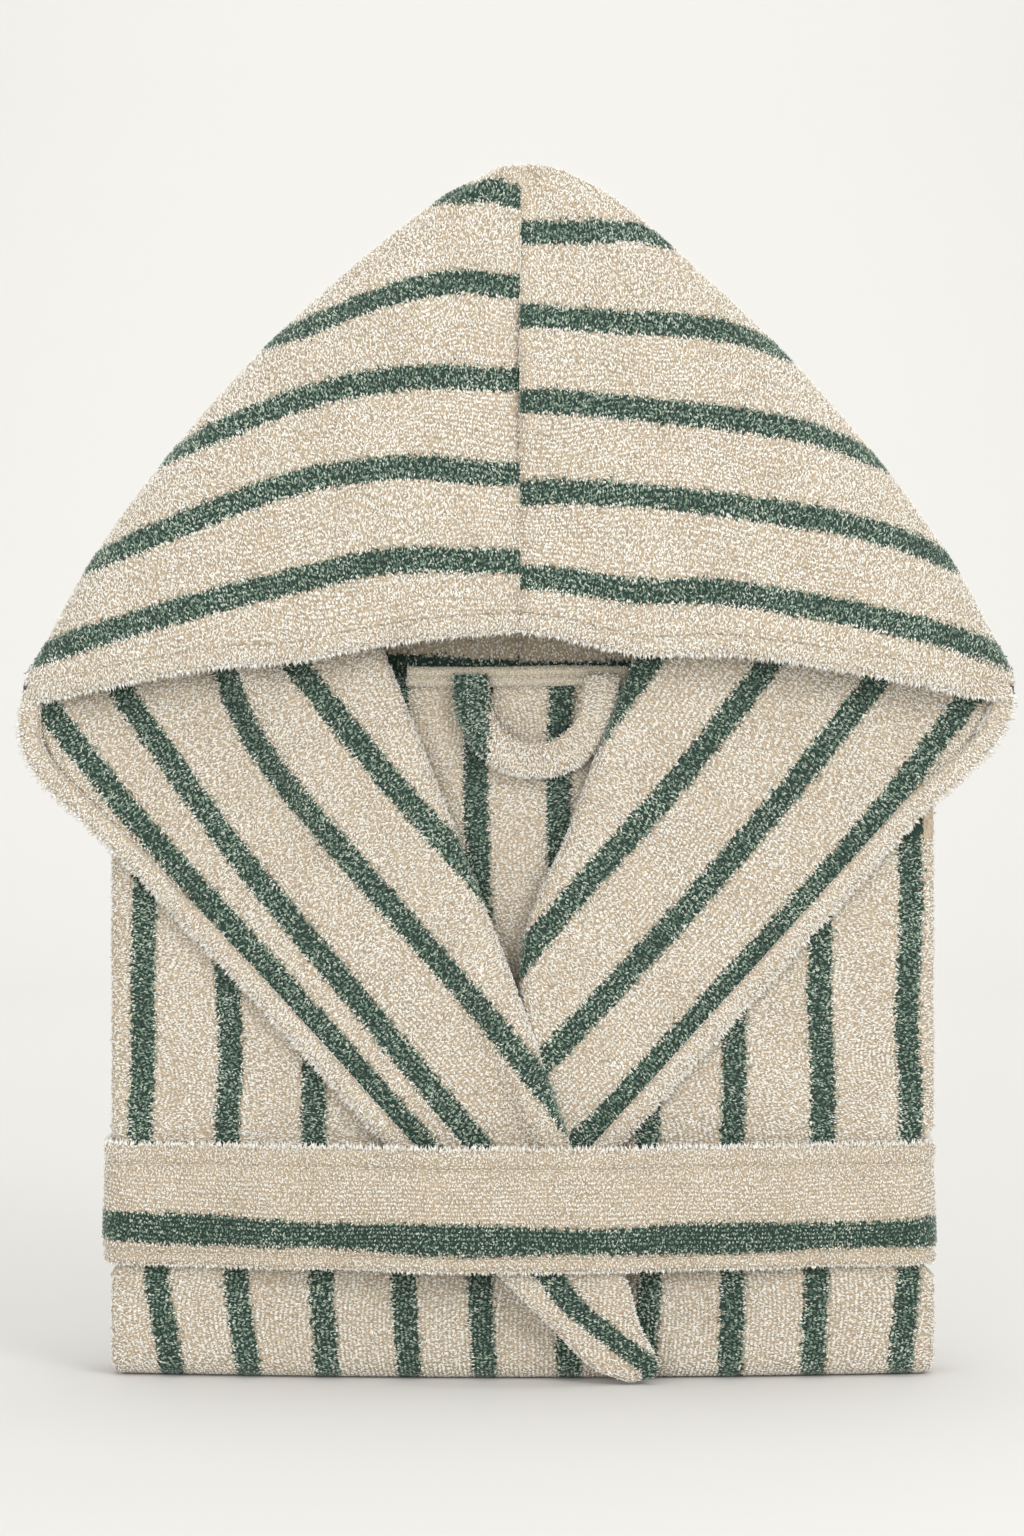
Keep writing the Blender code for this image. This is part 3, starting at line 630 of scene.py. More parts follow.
def make_front_panel(side):
    word = SIDES[side]
    start = -LAP if side < 0 else 0.001 - LAP
    step_at = LAP if side < 0 else LAP + 0.001
    reach = np.concatenate([np.linspace(start, step_at, 26), np.linspace(step_at + LAP_STEP, FLAT_END, 36),
                            round_columns(6)])
    x = side * reach
    top = np.minimum(v_height(x, side), shoulder_height(x))
    beyond = reach > step_at + 0.001
    near = np.where(beyond, 0.0, 0.0 if side < 0 else LAP_SHARE + 0.015)
    far = np.where(beyond, FRONT_SHARE, LAP_SHARE if side < 0 else FRONT_SHARE)
    outer, inner = folded_layer(x, (near, far), (edge_drop(x), 0.0 * x), top, SKIRT_TOP - GAP, SKIRT_TOP)
    gap, comb = body_fields(outer, side)
    cloth = Cloth(f"front_cloth_{word}", outer, inner, gap, comb)

    px, py, pz = outer[..., 0], outer[..., 1] - STACK_Y, outer[..., 2]
    hem_reach = side * x_at_height(pz, HEM_LINE[side])
    under_lapel = (py < 0) & (pz > 0.09) & ((side * px < hem_reach - 0.004) | (pz > 0.216))
    under_lap = (side > 0) & (px < LAP - 0.002)
    behind_pocket = (py > 0) & (np.abs(px) > 0.058) & (np.abs(px) < 0.136) & (pz > 0.024) & (pz < 0.127)
    hidden = behind_belt(pz) | under_lapel | under_lap | behind_pocket
    trim = np.where(hidden, 0.0, 1 - 0.6 * smooth_step(0.006, 0.0005, pz))
    front = trim * ((py < 0) | (pz < 0.004))
    grow_pile(cloth, FRONT_DENSITY, front, suffix="front_pile")
    grow_pile(cloth, BACK_DENSITY, trim * (front == 0), suffix="back_pile", **BACK_STRAND)
    shoulder = (py < 0) & (pz > top - 0.010) & (np.abs(px) > NECK_HALF)
    grow_pile(cloth, BACK_DENSITY, 0.9 * shoulder, suffix="rim_pile", ends=1)
    settle(cloth, "folded_robe", [f"front_panel_{word}"])


def make_back_panel():
    x = full_width(52)
    top, end = shoulder_height(x), SKIRT_TOP + HEM_BAND
    outer, inner = folded_layer(x, BACK_SHARES, (0.0 * x, -edge_drop(x)), top, end, end)
    gap, comb = fields_from_levels(outer, outer[..., 0] + 0.0008 * np.sin(outer[..., 2] * 60), BACK_STRIPES)
    cloth = Cloth("back_cloth", outer, inner, gap, comb)
    px, py, pz = outer[..., 0], outer[..., 1] - STACK_Y, outer[..., 2]
    in_neck = (py < 0) & (pz > V_POINT[1] - 0.015) & (np.abs(px) < 0.010 + (pz - V_POINT[1] + 0.015) * 0.42)
    grow_pile(cloth, FRONT_DENSITY, 0.9 * in_neck, suffix="neck_pile")
    rim = (np.abs(px) > HALF_WIDTH - 0.006) | (py > 0) & (pz > SKIRT_TOP + 0.004)
    rim |= (py < 0) & (pz > top - 0.006) & (np.abs(px) > NECK_HALF - 0.006)
    grow_pile(cloth, BACK_DENSITY, 0.9 * rim, suffix="rim_pile", wrap=5, ends=1, **RIM_STRAND)
    settle(cloth, "folded_robe", ["back_panel"])


def make_bottom_hem():
    x = full_width(60)[None, :]
    z = np.linspace(SKIRT_TOP, SKIRT_TOP + HEM_BAND, 8)[:, None]
    swell = 0.0012 * np.sin(pi * (z - SKIRT_TOP) / HEM_BAND) - 0.0006
    outer = stack(x, half_depth(x) + 0.0008 - edge_drop(x) + swell, z)
    inner = stack(x, half_depth(x) * 0.77 + 0 * z, z)
    gap, comb = plain_fields(outer)
    for side in SIDES:
        here = outer[..., 0] * side > side * LAP
        gap = np.where(here, body_fields(outer, side)[0], gap)
    cloth = Cloth("bottom_hem_cloth", outer, inner, gap, comb, GROUND_PLAIN)
    around = np.concatenate([outer, inner[-1:]], 0)
    grow_pile(cloth, BACK_DENSITY * 1.2, None, around, gap=np.vstack([gap, gap[-1:]]),
              comb=np.vstack([comb, comb[-1:]]),
              outward=np.vstack([outer - inner, 0 * inner[-1:] + [0, 0, 0.001]]), **RIM_STRAND)
    line = stack(x[0], half_depth(x[0]) + 0.0016 - edge_drop(x[0]), SKIRT_TOP + 0.0005)
    sew(cloth, "bottom_hem_stitches", line, (0, 1, 0))
    settle(cloth, "folded_robe", ["bottom_hem"])


def make_core_piece(part, side, hanging):
    """A flattened tube of cloth between the two halves of the stack, round at its side and ends."""
    start, stop = 0.0020, HALF_WIDTH - CORE_MARGIN
    reach = mix(start, stop, eased(91))[None, :]
    x = side * reach
    low = CUFF_TOP + 0.0010 + 0 * x if hanging else BACK_SHARES[1] * half_depth(x) + 0.0008
    top = shoulder_height(x) - 0.0030 if hanging else CUFF_TOP + 0 * x
    z = mix(low, top, eased(91)[:, None])

    def round_end(distance, radius):
        return np.sqrt(1 - (1 - np.clip(distance / radius, 0, 1)) ** 2)

    plump = round_end(reach - start, 0.006) * round_end(stop - reach, 0.0085)
    plump = plump * round_end(z - low, 0.0035) * round_end(top - z, 0.0050)
    swell = 0.0007 * (1 + wave(x * 2, z * 2, side))
    depth = (half_depth(x) * 0.515 - swell) * plump + 0.0002
    lean = 0.0006 * wave(x * 3, z * 3, 1.3 + side)
    outer = stack(pinched(x, z), lean - depth, z)
    inner = stack(pinched(x, z), lean + depth, z)
    gap, comb = fields_from_levels(outer, outer[..., 0] + side * 0.013, BACK_STRIPES)
    cloth = Cloth(f"{part}_cloth_{SIDES[side]}", outer, inner, gap, comb)
    near_rim = (np.abs(x) > HALF_WIDTH - 0.014) | (z > top - 0.010) & hanging
    grow_pile(cloth, BACK_DENSITY, 0.9 * near_rim, suffix="fore_pile", **RIM_STRAND)
    grow_inner_pile(cloth, BACK_DENSITY, 0.9 * near_rim, "rear_pile", **RIM_STRAND)
    settle(cloth, "folded_robe", [f"{part}_{SIDES[side]}"])
    return cloth


def make_sleeves():
    for side in SIDES:
        sleeve = make_core_piece("sleeve", side, True)
        cuff = make_core_piece("cuff", side, False)


def make_pockets():
    """A patch pocket on each front, low on the skirt, so behind and upside down."""
    (near, far), (low, top), inset = POCKET_X, POCKET_Z, 0.0045
    for side, word in SIDES.items():
        x = side * mix(near, far, eased(41))[None, :]
        z = mix(low, top, eased(51))[:, None]
        edge = np.minimum(np.minimum(np.abs(x) - near, far - np.abs(x)), np.minimum(z - low, top - z))
        outer = stack(x, half_depth(x) + 0.0040 - rounded(edge, 0.0024), z)
        inner = stack(x, half_depth(x) + GAP + 0 * z, z)
        gap, comb = body_fields(outer, side)
        cloth = Cloth(f"pocket_cloth_{word}", outer, inner, gap, comb)
        grow_pile(cloth, BACK_DENSITY, ~behind_belt(outer[..., 2]), **BACK_STRAND)
        lane = np.concatenate([[(a, top - inset) for a in np.linspace(near + inset, far - inset, 20)],
                               [(far - inset, c) for c in np.linspace(top - inset, low + 0.001, 20)[1:]]])
        line = stack(side * lane[:, 0], half_depth(lane[:, 0]) + 0.0046, lane[:, 1])
        sew(cloth, f"pocket_stitches_{word}", line, (0, 1, 0))
        settle(cloth, "folded_robe", [f"pocket_{word}"])


def strip_faces(path, wide, fore, places, crown):
    """Front and rear face of a strip along a path, with columns at places and so far apart as crown says."""
    spread = path[:, None] + wide[:, None] * places[None, :, None]
    thick = fore[:, None] * crown[..., None]
    return spread + thick, spread - thick


# ------------------------------------------------------------------ neck
def make_neck_tape():
    low, top, seam = 0.2790, 0.2870, 0.2830
    x = np.linspace(-0.0455, 0.0435, 60)[None, :]
    t = np.linspace(0, 1, 17)[:, None]
    z = mix(low, top, t)
    face = (BACK_SHARES[0] - 1) * half_depth(x) - GAP
    bow = 0.0004 * np.sin(x * 70)
    roll = np.abs(np.sin(2 * pi * t)) ** 0.6
    crown = 0.0005 + 0.0025 * roll * (1 + 0.10 * wave(x * 9, t * 2, 0.4))
    outer = stack(x, face - 0.0004 - crown, z + bow)
    inner = stack(x, face + 0 * t, z)
    cloth = Cloth("neck_tape_cloth", outer, inner, *plain_fields(outer), STRAP)
    sew(cloth, "neck_tape_stitches", stack(x[0], face[0] - 0.0012, seam + bow[0]), (0, -1, 0), 0.0026)
    trim = np.broadcast_to(np.where(t < 0.4, 0.8, 0.2), outer.shape[:2])
    grow_pile(cloth, FRONT_DENSITY, trim, reach=0.0012, half=0.00026)
    settle(cloth, "folded_robe", ["neck_tape"])


def make_hanger_loop():
    """A strap sewn to the neck tape at both ends, that hangs down in a U."""
    left_end, right_end, drop, half_width = -0.0198, 0.0325, 0.0345, 0.0068
    middle, reach = (left_end + right_end) / 2, (right_end - left_end) / 2
    angle = np.linspace(0, pi, 90)
    x = middle - reach * np.cos(angle)
    z = LOOP_TOP[1] - drop * np.sin(angle) ** 0.8
    y = LOOP_TOP[0] - 0.0036 * np.sin(angle)
    path = stack(x, y, z)
    wide = np.stack([np.cos(angle) * 0.9, -0.35 * np.sin(angle), np.sin(angle) + 0.12], 1)
    tangent = unit(np.gradient(path, axis=0))
    wide = unit(wide - tangent * (wide * tangent).sum(1, keepdims=True))
    thin = np.cross(tangent, wide)
    thin *= np.where(thin[:, 1:2] > 0, -1.0, 1.0)
    b = strip(13)
    crown = 0.0016 * np.sqrt(np.maximum(1 - np.abs(b) ** 4, 0)) + 0.0001
    outer, inner = strip_faces(path, wide, thin, b * half_width, crown)
    gap = np.abs(outer[..., 0] - left_end) * 0.66
    comb = np.broadcast_to(-wide[:, None], outer.shape)
    cloth = Cloth("hanger_loop_cloth", outer, inner, gap, comb)
    groove = mix(0.30, 1.0, smooth_step(0.04, 0.16, np.abs(b + 0.25)))
    grow_pile(cloth, FRONT_DENSITY * 1.15, np.broadcast_to(groove[None, :], gap.shape), reach=0.0019,
              rise=0.0007, against=0.10)
    grow_inner_pile(cloth, BACK_DENSITY, None, "rear_pile", **RIM_STRAND)
    low = slice(18, 84)
    grow_fringe(cloth, "hanger_loop_fringe", (path - wide * 0.0062)[low], -wide[low], thin[low], 0.0026)
    sew(cloth, "hanger_loop_stitches", path - wide * 0.0015 + thin * 0.0017, thin, 0.0026)
    settle(cloth, "loop", ["hanger_loop"])


# ------------------------------------------------------------------ lapels
HEM_LINE = {-1: [(-0.1640, 0.2130), (-0.1000, 0.1460), (-0.0355, 0.0750)],
            1: [(0.1640, 0.2300), (0.0960, 0.1560), (0.0225, 0.0755)]}
ROLL_LINE = {-1: [(-0.0560, 0.2960), (-0.0045, 0.1650), (0.0270, 0.0750)],
             1: [(0.0480, 0.2960), (0.0215, 0.2260), (0.0002, 0.1640), (0.0155, 0.0755)]}
CORNER_LINE = {-1: [(-0.1640, 0.2130), (-0.1950, 0.2430), (-0.2040, 0.2640)],
               1: [(0.1640, 0.2300), (0.1860, 0.2490), (0.2000, 0.2680)]}
CREASE = (-0.1040, 0.2500)     # a place on the crease in the upper left lapel, x and z
LAPEL_BLEND = ("folded_robe", "hood", (0, 0, 0.2050), (0, 0, 0.2680))


def edge_line(side, count=160):
    """The lapel's outer edge in the front view, from the belt up to the hood's corner."""
    low = along(HEM_LINE[side][::-1], np.linspace(0, 1, 120))
    high = along(CORNER_LINE[side], np.linspace(0, 1, 60))[1:]
    return evenly(smoothed(np.vstack([low, high]), 30), count)


def inward(line, side):
    """Direction from the edge line towards the lapel's inside, in the front view."""
    tangent = unit(np.gradient(line, axis=0))
    return np.stack([-tangent[:, 1], tangent[:, 0]], 1) * side


def lapel_depth(x, z):
    """Depth of the surface a lapel lies on, from the stack's mid-plane."""
    return half_depth(x) + GAP + 0.0008 * smooth_step(0.205, 0.225, z)


def lift_over(side, z, b):
    """The left lapel's folded edge rides up over the right lapel, below the V."""
    if side > 0:
        return 0.0 * b
    return 0.0056 * smooth_step(0.72, 0.86, b) * (1 - smooth_step(0.167, 0.192, z))


def make_lapel(side):
    """The turned-out front edge, one cloth from the belt up into the hood's corner."""
    word = SIDES[side]
    edge = edge_line(side)
    start = edge + inward(edge, side) * (ROLL_WIDTH - SEAM_TUCK)
    fraction = np.linspace(0, 1, len(edge))
    start[:, 1] += 0.0065 * smooth_step(0.88, 1.0, fraction)
    stop = along(ROLL_LINE[side][::-1], fraction)
    b = eased(71, 0.6)[None, :]
    x = mix(start[:, None, 0], stop[:, None, 0], b)
    z = mix(start[:, None, 1], stop[:, None, 1], b)
    z = z + 0.0125 * np.sin(pi * b ** 0.62) * smooth_step(0.72, 1.0, fraction)[:, None]
    width = np.linalg.norm(stop - start, axis=1)[:, None]
    to_edge = np.minimum(b + 0.0006 / width, 1 - b) * width
    drape = 0.0014 * wave(x * 1.1, z * 1.1, 2.0 + side) * smooth_step(0.0, 0.02, to_edge)
    if side < 0:
        from_x, from_z = x - CREASE[0], z - CREASE[1]
        across = from_x * 0.85 + from_z * 0.45
        fade = smooth_step(-0.10, -0.02, from_z * 0.85 - from_x * 0.45)
        crease = np.exp(-(across / 0.0055) ** 2) * fade
        ridge = np.exp(-((across - 0.0115) / 0.007) ** 2) * fade
        drape = drape - 0.0036 * crease + 0.0044 * ridge
    back = -lapel_depth(x, z) - lift_over(side, z, b)
    thick = CLOTH + np.maximum(drape, -0.0036)
    outer = stack(x, back - thick + rounded(to_edge, 0.0040), z)
    inner = stack(x, back + 0 * thick, z)
    gap, comb = fields_from_curves(outer, LAPEL_STRIPES[side])
    cloth = Cloth(f"lapel_cloth_{word}", outer, inner, gap, comb)
    hidden = z < BELT_LOW + BELT_HEIGHT - 0.004
    if side > 0:
        hidden |= (z < V_POINT[1] - 0.004) & (x < x_at_height(z, ROLL_LINE[-1]) - 0.004)
    grow_pile(cloth, FRONT_DENSITY, ~hidden)
    settle(cloth, LAPEL_BLEND, [f"lapel_{word}", f"hood_facing_{word}"])


# ------------------------------------------------------------------ hood
OUTLINE = {-1: [(0.2010, 0.2720), (0.1950, 0.2880), (0.1762, 0.3250), (0.1472, 0.3660),
                (0.1082, 0.4110), (0.0685, 0.4480), (0.0330, 0.4760), (0.0130, 0.4870)],
           1: [(0.2000, 0.2720), (0.1962, 0.2880), (0.1776, 0.3250), (0.1487, 0.3660),
               (0.1098, 0.4110), (0.0714, 0.4480), (0.0395, 0.4760), (0.0195, 0.4870)]}
PEAK_ROWS = 6
SEAM_HEIGHTS = [(0.2990,), (0.3240,), (0.3600,), (0.3970,), (0.4330,), (0.4590,), (0.4790,), (0.4880,)]


def roof_droop(side, x):
    """How much lower the hood's front edge hangs than its plain curve."""
    middle, deep, spread = (0.088, 0.0028, 0.022) if side < 0 else (0.047, 0.0056, 0.024)
    return deep * np.exp(-((x - middle) / spread) ** 2) - 0.0014 * (1 - smooth_step(0.14, 0.19, x))


def hood_point(side, h, f, face, inset, lift=0.0):
    """Points of the hood: f is 0 at the centre seam and 1 at the side fold, face -1 in front."""
    fold = along(OUTLINE[side], h)
    fold_x, fold_z = fold[..., 0], fold[..., 1]
    seam_z = along(SEAM_HEIGHTS, h)[..., 0]
    back_z = mix(NECK_HEIGHT + 0.0004, seam_z, smooth_step(0.0, 0.45, h))
    close = smooth_step(0.0, 1.0, h) ** 1.2
    front, back = mix(0.0360, 0.0060, close), mix(0.0075, 0.0058, close)
    plane = mix(FOLD_PLANE, -0.0150, h)
    seam_z = np.where(face < 0, seam_z, back_z)
    power = mix(1.35, 2.2, smooth_step(0.0, 0.3, h))
    x = SEAM_GAP + (fold_x - inset - SEAM_GAP) * f
    z = seam_z - (seam_z - fold_z) * f ** power + lift * (1 - smooth_step(0.0, 0.25, h))
    bulge = np.sqrt(np.maximum(1 - f ** 3, 0.0))
    hang = 0.0050 * (1 - smooth_step(0.0, 0.2, h)) * (1 - f * f)
    z = z - np.where(face < 0, roof_droop(side, x) * (1 - smooth_step(0.0, 0.28, h)), 0.0)
    y = np.where(face < 0, plane - np.maximum(front - inset, 0.0003) * bulge,
                 plane + np.maximum(back - inset, 0.0003) * bulge - hang)
    return stack(side * x, y, z)


def close_peak(grid, side, rise):
    """Adds rows that draw the top of the hood in over its tip."""
    centre = np.array([side * SEAM_GAP, STACK_Y - 0.0150, 0.0])
    rows = [grid[-1] + (centre - grid[-1]) * [1, 1, 0] * (1 - np.cos(a)) + [0, 0, rise * np.sin(a)]
            for a in np.radians(np.linspace(0, 86, PEAK_ROWS + 1))[1:]]
    return np.concatenate([grid, rows], 0)


def make_hood_panel(side):
    """Half of the hood: from the front seam, round the side fold, to the back seam."""
    word = SIDES[side]
    turn = 57
    columns = np.sin(pi / 2 * np.arange(turn) / (turn - 1))
    f = np.concatenate([columns, columns[-2::-1]])[None, :]
    face = np.concatenate([-np.ones(turn), np.ones(turn - 1)])[None, :]
    h = np.linspace(0, 1, 112)[:, None]
    lift = np.where((face < 0) & (f < 1), ROLL_WIDTH - SEAM_TUCK, 0.0)
    h, f, face, lift = np.broadcast_arrays(h, f, face, lift)
    swell = 0.0022 * wave(f * 0.2 * side, h * 0.25, 0.8 + side) * (1 - f ** 4)
    outer = hood_point(side, h, f, face, 0.0, lift)
    inner = hood_point(side, h, f, face, HOOD_CLOTH, lift)
    outer[..., 1] += np.where(face < 0, -0.0010 + swell * smooth_step(0, 0.25, h), 0.0)
    level = along(SEAM_HEIGHTS, h)[..., 0] + 0.0010 * np.sin(outer[..., 0] * 42 + h * 9 + side)
    shift = (0.0120 if side < 0 else 0.0050) * (1 - f * f) * (1 - smooth_step(0.1, 0.6, h))
    level = level + np.where(face > 0, shift, 0.0)
    if side > 0:
        level = level - 0.0075 * smooth_step(0.15, 0.95, f) * (1 - smooth_step(0.62, 0.92, h))
    else:
        fade = smooth_step(0.42, 0.85, f) * (1 - smooth_step(0.55, 0.75, h))
        level = level - 0.0036 * smooth_step(0.0, 0.30, f) * (1 - fade)
    gap, comb = fields_from_levels(outer, level, HOOD_STRIPES[side])
    outer, inner = close_peak(outer, side, 0.0024), close_peak(inner, side, 0.0008)
    gap, comb = (np.pad(a, ((0, PEAK_ROWS),) + ((0, 0),) * (a.ndim - 1), mode="edge") for a in (gap, comb))
    face = np.pad(face, ((0, PEAK_ROWS), (0, 0)), mode="edge")
    cloth = Cloth(f"hood_cloth_{word}", outer, inner, gap, comb)
    beside_seam = (side > 0) & (np.abs(outer[..., 0]) < 0.0046) & (face < 0)
    trim = np.where(beside_seam, 0.42, 1.0)
    grow_pile(cloth, FRONT_DENSITY, trim * (face < 0), suffix="front_pile")
    grow_pile(cloth, BACK_DENSITY, trim * (face > 0), suffix="back_pile", **BACK_STRAND)
    rear = slice(turn, None)
    window = (outer[:, rear, 2] < 0.315) & (np.abs(outer[:, rear, 0]) < 0.075)
    grow_inner_pile(cloth, BACK_DENSITY, window, "lining_pile", rear, **RIM_STRAND)
    if side > 0:
        t = np.linspace(0.05, 0.93, 120)
        line = hood_point(side, t, 0 * t, -np.ones(120), 0.0)
        line[:, 0] = 0.0047
        line[:, 1] -= 0.0003
        sew(cloth, "hood_seam_stitches", line, (0, -1, 0), 0.0030)
    settle(cloth, "hood", [f"hood_panel_{word}"])


def hem_route(side):
    """Middle line of the edge hem: along the hood's front edge, round the corner, down the lapel."""
    t = np.linspace(0, 1, 90)
    f = np.sin(pi / 2 * t * 0.93)
    roof = hood_point(side, 0 * t, f, -np.ones(90), 0.0026)
    roof[:, 2] += ROLL_WIDTH / 2
    edge = edge_line(side, 150)
    low = (edge + inward(edge, side) * (ROLL_WIDTH / 2))[::-1]
    low = low[low[:, 1] > 0.0765]
    share = np.linspace(0, 1, len(low))
    flat = -lapel_depth(low[:, 0], low[:, 1]) - ROLL_DEPTH / 2
    y = mix(-0.0235, flat, smooth_step(0.0, 0.14, share))
    lapel = stack(low[:, 0], y, low[:, 1])
    return evenly(smoothed(np.vstack([roof, lapel[2:]]), 12), 230)


def make_edge_hem(side):
    """The rolled hem of hood and lapel, one strip from the forehead to under the belt."""
    word = SIDES[side]
    path = hem_route(side)
    tangent = unit(np.gradient(path, axis=0))
    wide = unit(np.stack([tangent[:, 2], 0 * tangent[:, 0], -tangent[:, 0]], 1) * -side)
    fore = unit(np.cross(tangent, wide))
    fore *= np.where(fore[:, 1:2] > 0, -1.0, 1.0)
    corner = np.abs(path[:, 0]).argmax()
    round_it = smooth_step(corner - 13, corner + 9, np.arange(len(path)))[:, None]
    corner_out = np.array([side * 1.0, 0.0, -0.25]) * (4 * round_it * (1 - round_it))
    out = unit(-wide * (1 - round_it) + wide * round_it + corner_out)
    b = strip(21)

    def section(free):
        round_side = np.maximum(1 - np.clip(free, 0, 1) ** 2.4, 0) ** (1 / 2.4)
        return round_side * (1 - 0.12 * np.clip(-free, 0, 1) ** 4)

    crown = mix(section(-b)[None, :], section(b)[None, :], round_it) * ROLL_DEPTH / 2 + 0.0001
    outer, inner = strip_faces(path, wide, fore, b * (ROLL_WIDTH - GAP) / 2, crown)
    cloth = Cloth(f"edge_hem_{word}", outer, inner, *plain_fields(outer, out[:, None]), GROUND_PLAIN)
    shown = path[:, 2] > BELT_LOW + BELT_HEIGHT - 0.002
    trim = np.broadcast_to(shown[:, None], outer.shape[:2])
    grow_pile(cloth, FRONT_DENSITY * 1.15, trim, against=0.10)
    grow_inner_pile(cloth, BACK_DENSITY, trim, "under_pile", half=0.0004, against=0.10)
    edge = (path + out * (ROLL_WIDTH / 2 - 0.0010))[shown]
    for k, forward in enumerate((0.0014, -0.0004)):
        grow_fringe(cloth, f"edge_fringe_{word}_{k + 1}", edge + fore[shown] * forward, out[shown],
                    fore[shown], 0.0031)
    settle(cloth, LAPEL_BLEND, [f"hood_hem_{word}", f"lapel_hem_{word}"])


def make_hood_tape():
    """The tape over the centre seam, inside the hood's front layer."""
    h = np.linspace(0.06, 0.72, 70)
    middle = hood_point(1, h, 0 * h, -np.ones(70), HOOD_CLOTH)
    across = np.linspace(-1, 1, 9)
    crown = 0.0006 * (1 - across ** 2)
    outer = middle[:, None] + np.stack([across * 0.0055, 0.0020 + crown, 0 * across], 1)
    inner = middle[:, None] + np.stack([across * 0.0055, 0.0006 + 0 * across, 0 * across], 1)
    cloth = Cloth("hood_tape_cloth", outer, inner, *plain_fields(outer, (1, 0, 0)), STRAP)
    settle(cloth, "hood", ["hood_seam_tape"])


# ------------------------------------------------------------------ belt
def belt_front(x):
    """Depth of the belt's inner face in front: it runs over the lapels, then over the body."""
    over_lapels = 0.0066 * (1 - smooth_step(0.090, 0.125, np.abs(x)))
    over_crossing = 0.0100 * (1 - smooth_step(0.030, 0.075, np.abs(x)))
    return half_depth(x) + 0.0008 + over_lapels + over_crossing


def belt_loop():
    """The belt's inner face as a closed loop seen from above, with the outward direction."""
    start = 0.154
    corner_x, corner_y = BELT_SIDE - start, 0.0100
    x = np.linspace(-start, start, 120)
    quarter = pi / 2 * np.arange(1, 9) / 9
    top, rear = -belt_front(start), half_depth(start) + 0.0052
    front = np.stack([x, -belt_front(x)], 1)
    turn_in = np.stack([start + corner_x * np.sin(quarter), top + corner_y * (1 - np.cos(quarter))], 1)
    turn_out = np.stack([start + corner_x * np.cos(quarter), rear - corner_y * (1 - np.sin(quarter))], 1)
    side_y = np.linspace(top + corner_y, rear - corner_y, 7)
    side = np.stack([np.full(7, BELT_SIDE), side_y], 1)
    back = np.stack([x[::-1], half_depth(x[::-1]) + 0.0052], 1)
    right = np.vstack([turn_in, side, turn_out])
    left = right[::-1] * [-1, 1]
    loop = np.vstack([front, right, back, left])
    for _ in range(4):
        loop = (np.roll(loop, 1, 0) + 2 * loop + np.roll(loop, -1, 0)) / 4
    tangent = unit(np.roll(loop, -1, 0) - np.roll(loop, 1, 0))
    return loop, np.stack([tangent[:, 1], -tangent[:, 0]], 1)


def belt_sag(x, y):
    """The belt rides a little higher where it crosses the lapels, in the middle of the front."""
    return 0.0002 * (1 - (x / HALF_WIDTH) ** 2) * (y < 0)


def make_belt():
    loop, out = belt_loop()
    height = strip(61, 0.6)
    z = BELT_LOW + BELT_HEIGHT / 2 * (1 + height)
    to_edge = BELT_HEIGHT / 2 * (1 - np.abs(height))
    sag = belt_sag(loop[:, :1], loop[:, 1:])
    ripple = 0.0007 * wave(loop[:, :1] * 1.3, z[None, :], 5.0) * (loop[:, 1:] < 0)
    seams = np.abs(z[:, None] - BELT_SEAMS).min(1)
    crown = BELT_THICK - rounded(to_edge, 0.0022) - 0.0012 * np.exp(-(seams / 0.0013) ** 2)
    lift = crown[None, :] + ripple * smooth_step(0, 0.008, to_edge)

    def lifted(distance, level):
        """Points at a distance outside the loop, at a level."""
        return stack(loop[:, :1] + out[:, :1] * distance, loop[:, 1:] + out[:, 1:] * distance, level + sag)

    outer = lifted(lift, z[None, :])
    inner = lifted(rounded(to_edge, 0.0018)[None, :], z[None, :])
    middle = BELT_LOW + 0.0124 + 0.0016 * (loop[:, :1] / HALF_WIDTH) ** 2 - 0.008 * loop[:, :1]
    gap = np.abs(z[None, :] - middle) * 0.87 + 0.0006 * np.sin(loop[:, :1] * 60)
    comb = plain_fields(outer)[1]
    cloth = Cloth("belt_cloth", outer, inner, gap, comb, around=True)
    trim = np.broadcast_to(mix(0.25, 1.0, smooth_step(0.0004, 0.0016, seams))[None, :], gap.shape)
    facing = (loop[:, 1] < 0.004)[:, None]
    closing = np.concatenate([np.arange(len(loop)), [0]])
    away = (outer - inner)[closing]
    for suffix, shown, density, strand in (
            ("front_pile", facing, FRONT_DENSITY, {"reach": 0.0013, "half": 0.0003}),
            ("back_pile", ~facing, BACK_DENSITY, BACK_STRAND)):
        grow_pile(cloth, density, (trim * shown)[closing], outer[closing], suffix=suffix,
                  gap=gap[closing], comb=comb[closing], outward=away, **strand)
    direction = np.concatenate([out, 0 * out[:, :1]], 1)
    for word, level, sign, reach in (("top", z[-1] - 0.0008, 1, 0.0032),
                                     ("bottom", z[0] + 0.0008, -1, 0.0022)):
        for layer, distance in (("outer", BELT_THICK - 0.0012), ("inner", BELT_THICK * 0.35)):
            grow_fringe(cloth, f"belt_fringe_{word}_{layer}", lifted(distance, level)[:, 0], (0, 0, sign),
                        direction, reach)
    for k, level in enumerate(BELT_SEAMS):
        sew(cloth, f"belt_stitches_{k + 1}", lifted(BELT_THICK - 0.0004, level)[:, 0], direction)
    settle(cloth, "belt", ["belt_band"])


TUCK_LEFT, TUCK_RIGHT = (-0.0340, 0.0720), (0.0260, 0.0735)
TAIL_LEFT = [TUCK_LEFT, (-0.0060, 0.0418), (0.0128, 0.0228), (0.0285, 0.0072), (0.0440, 0.0008)]
TAIL_RIGHT = [TUCK_RIGHT, (0.0420, 0.0418), (0.0472, 0.0240), (0.0546, 0.0090), (0.0545, 0.0030)]


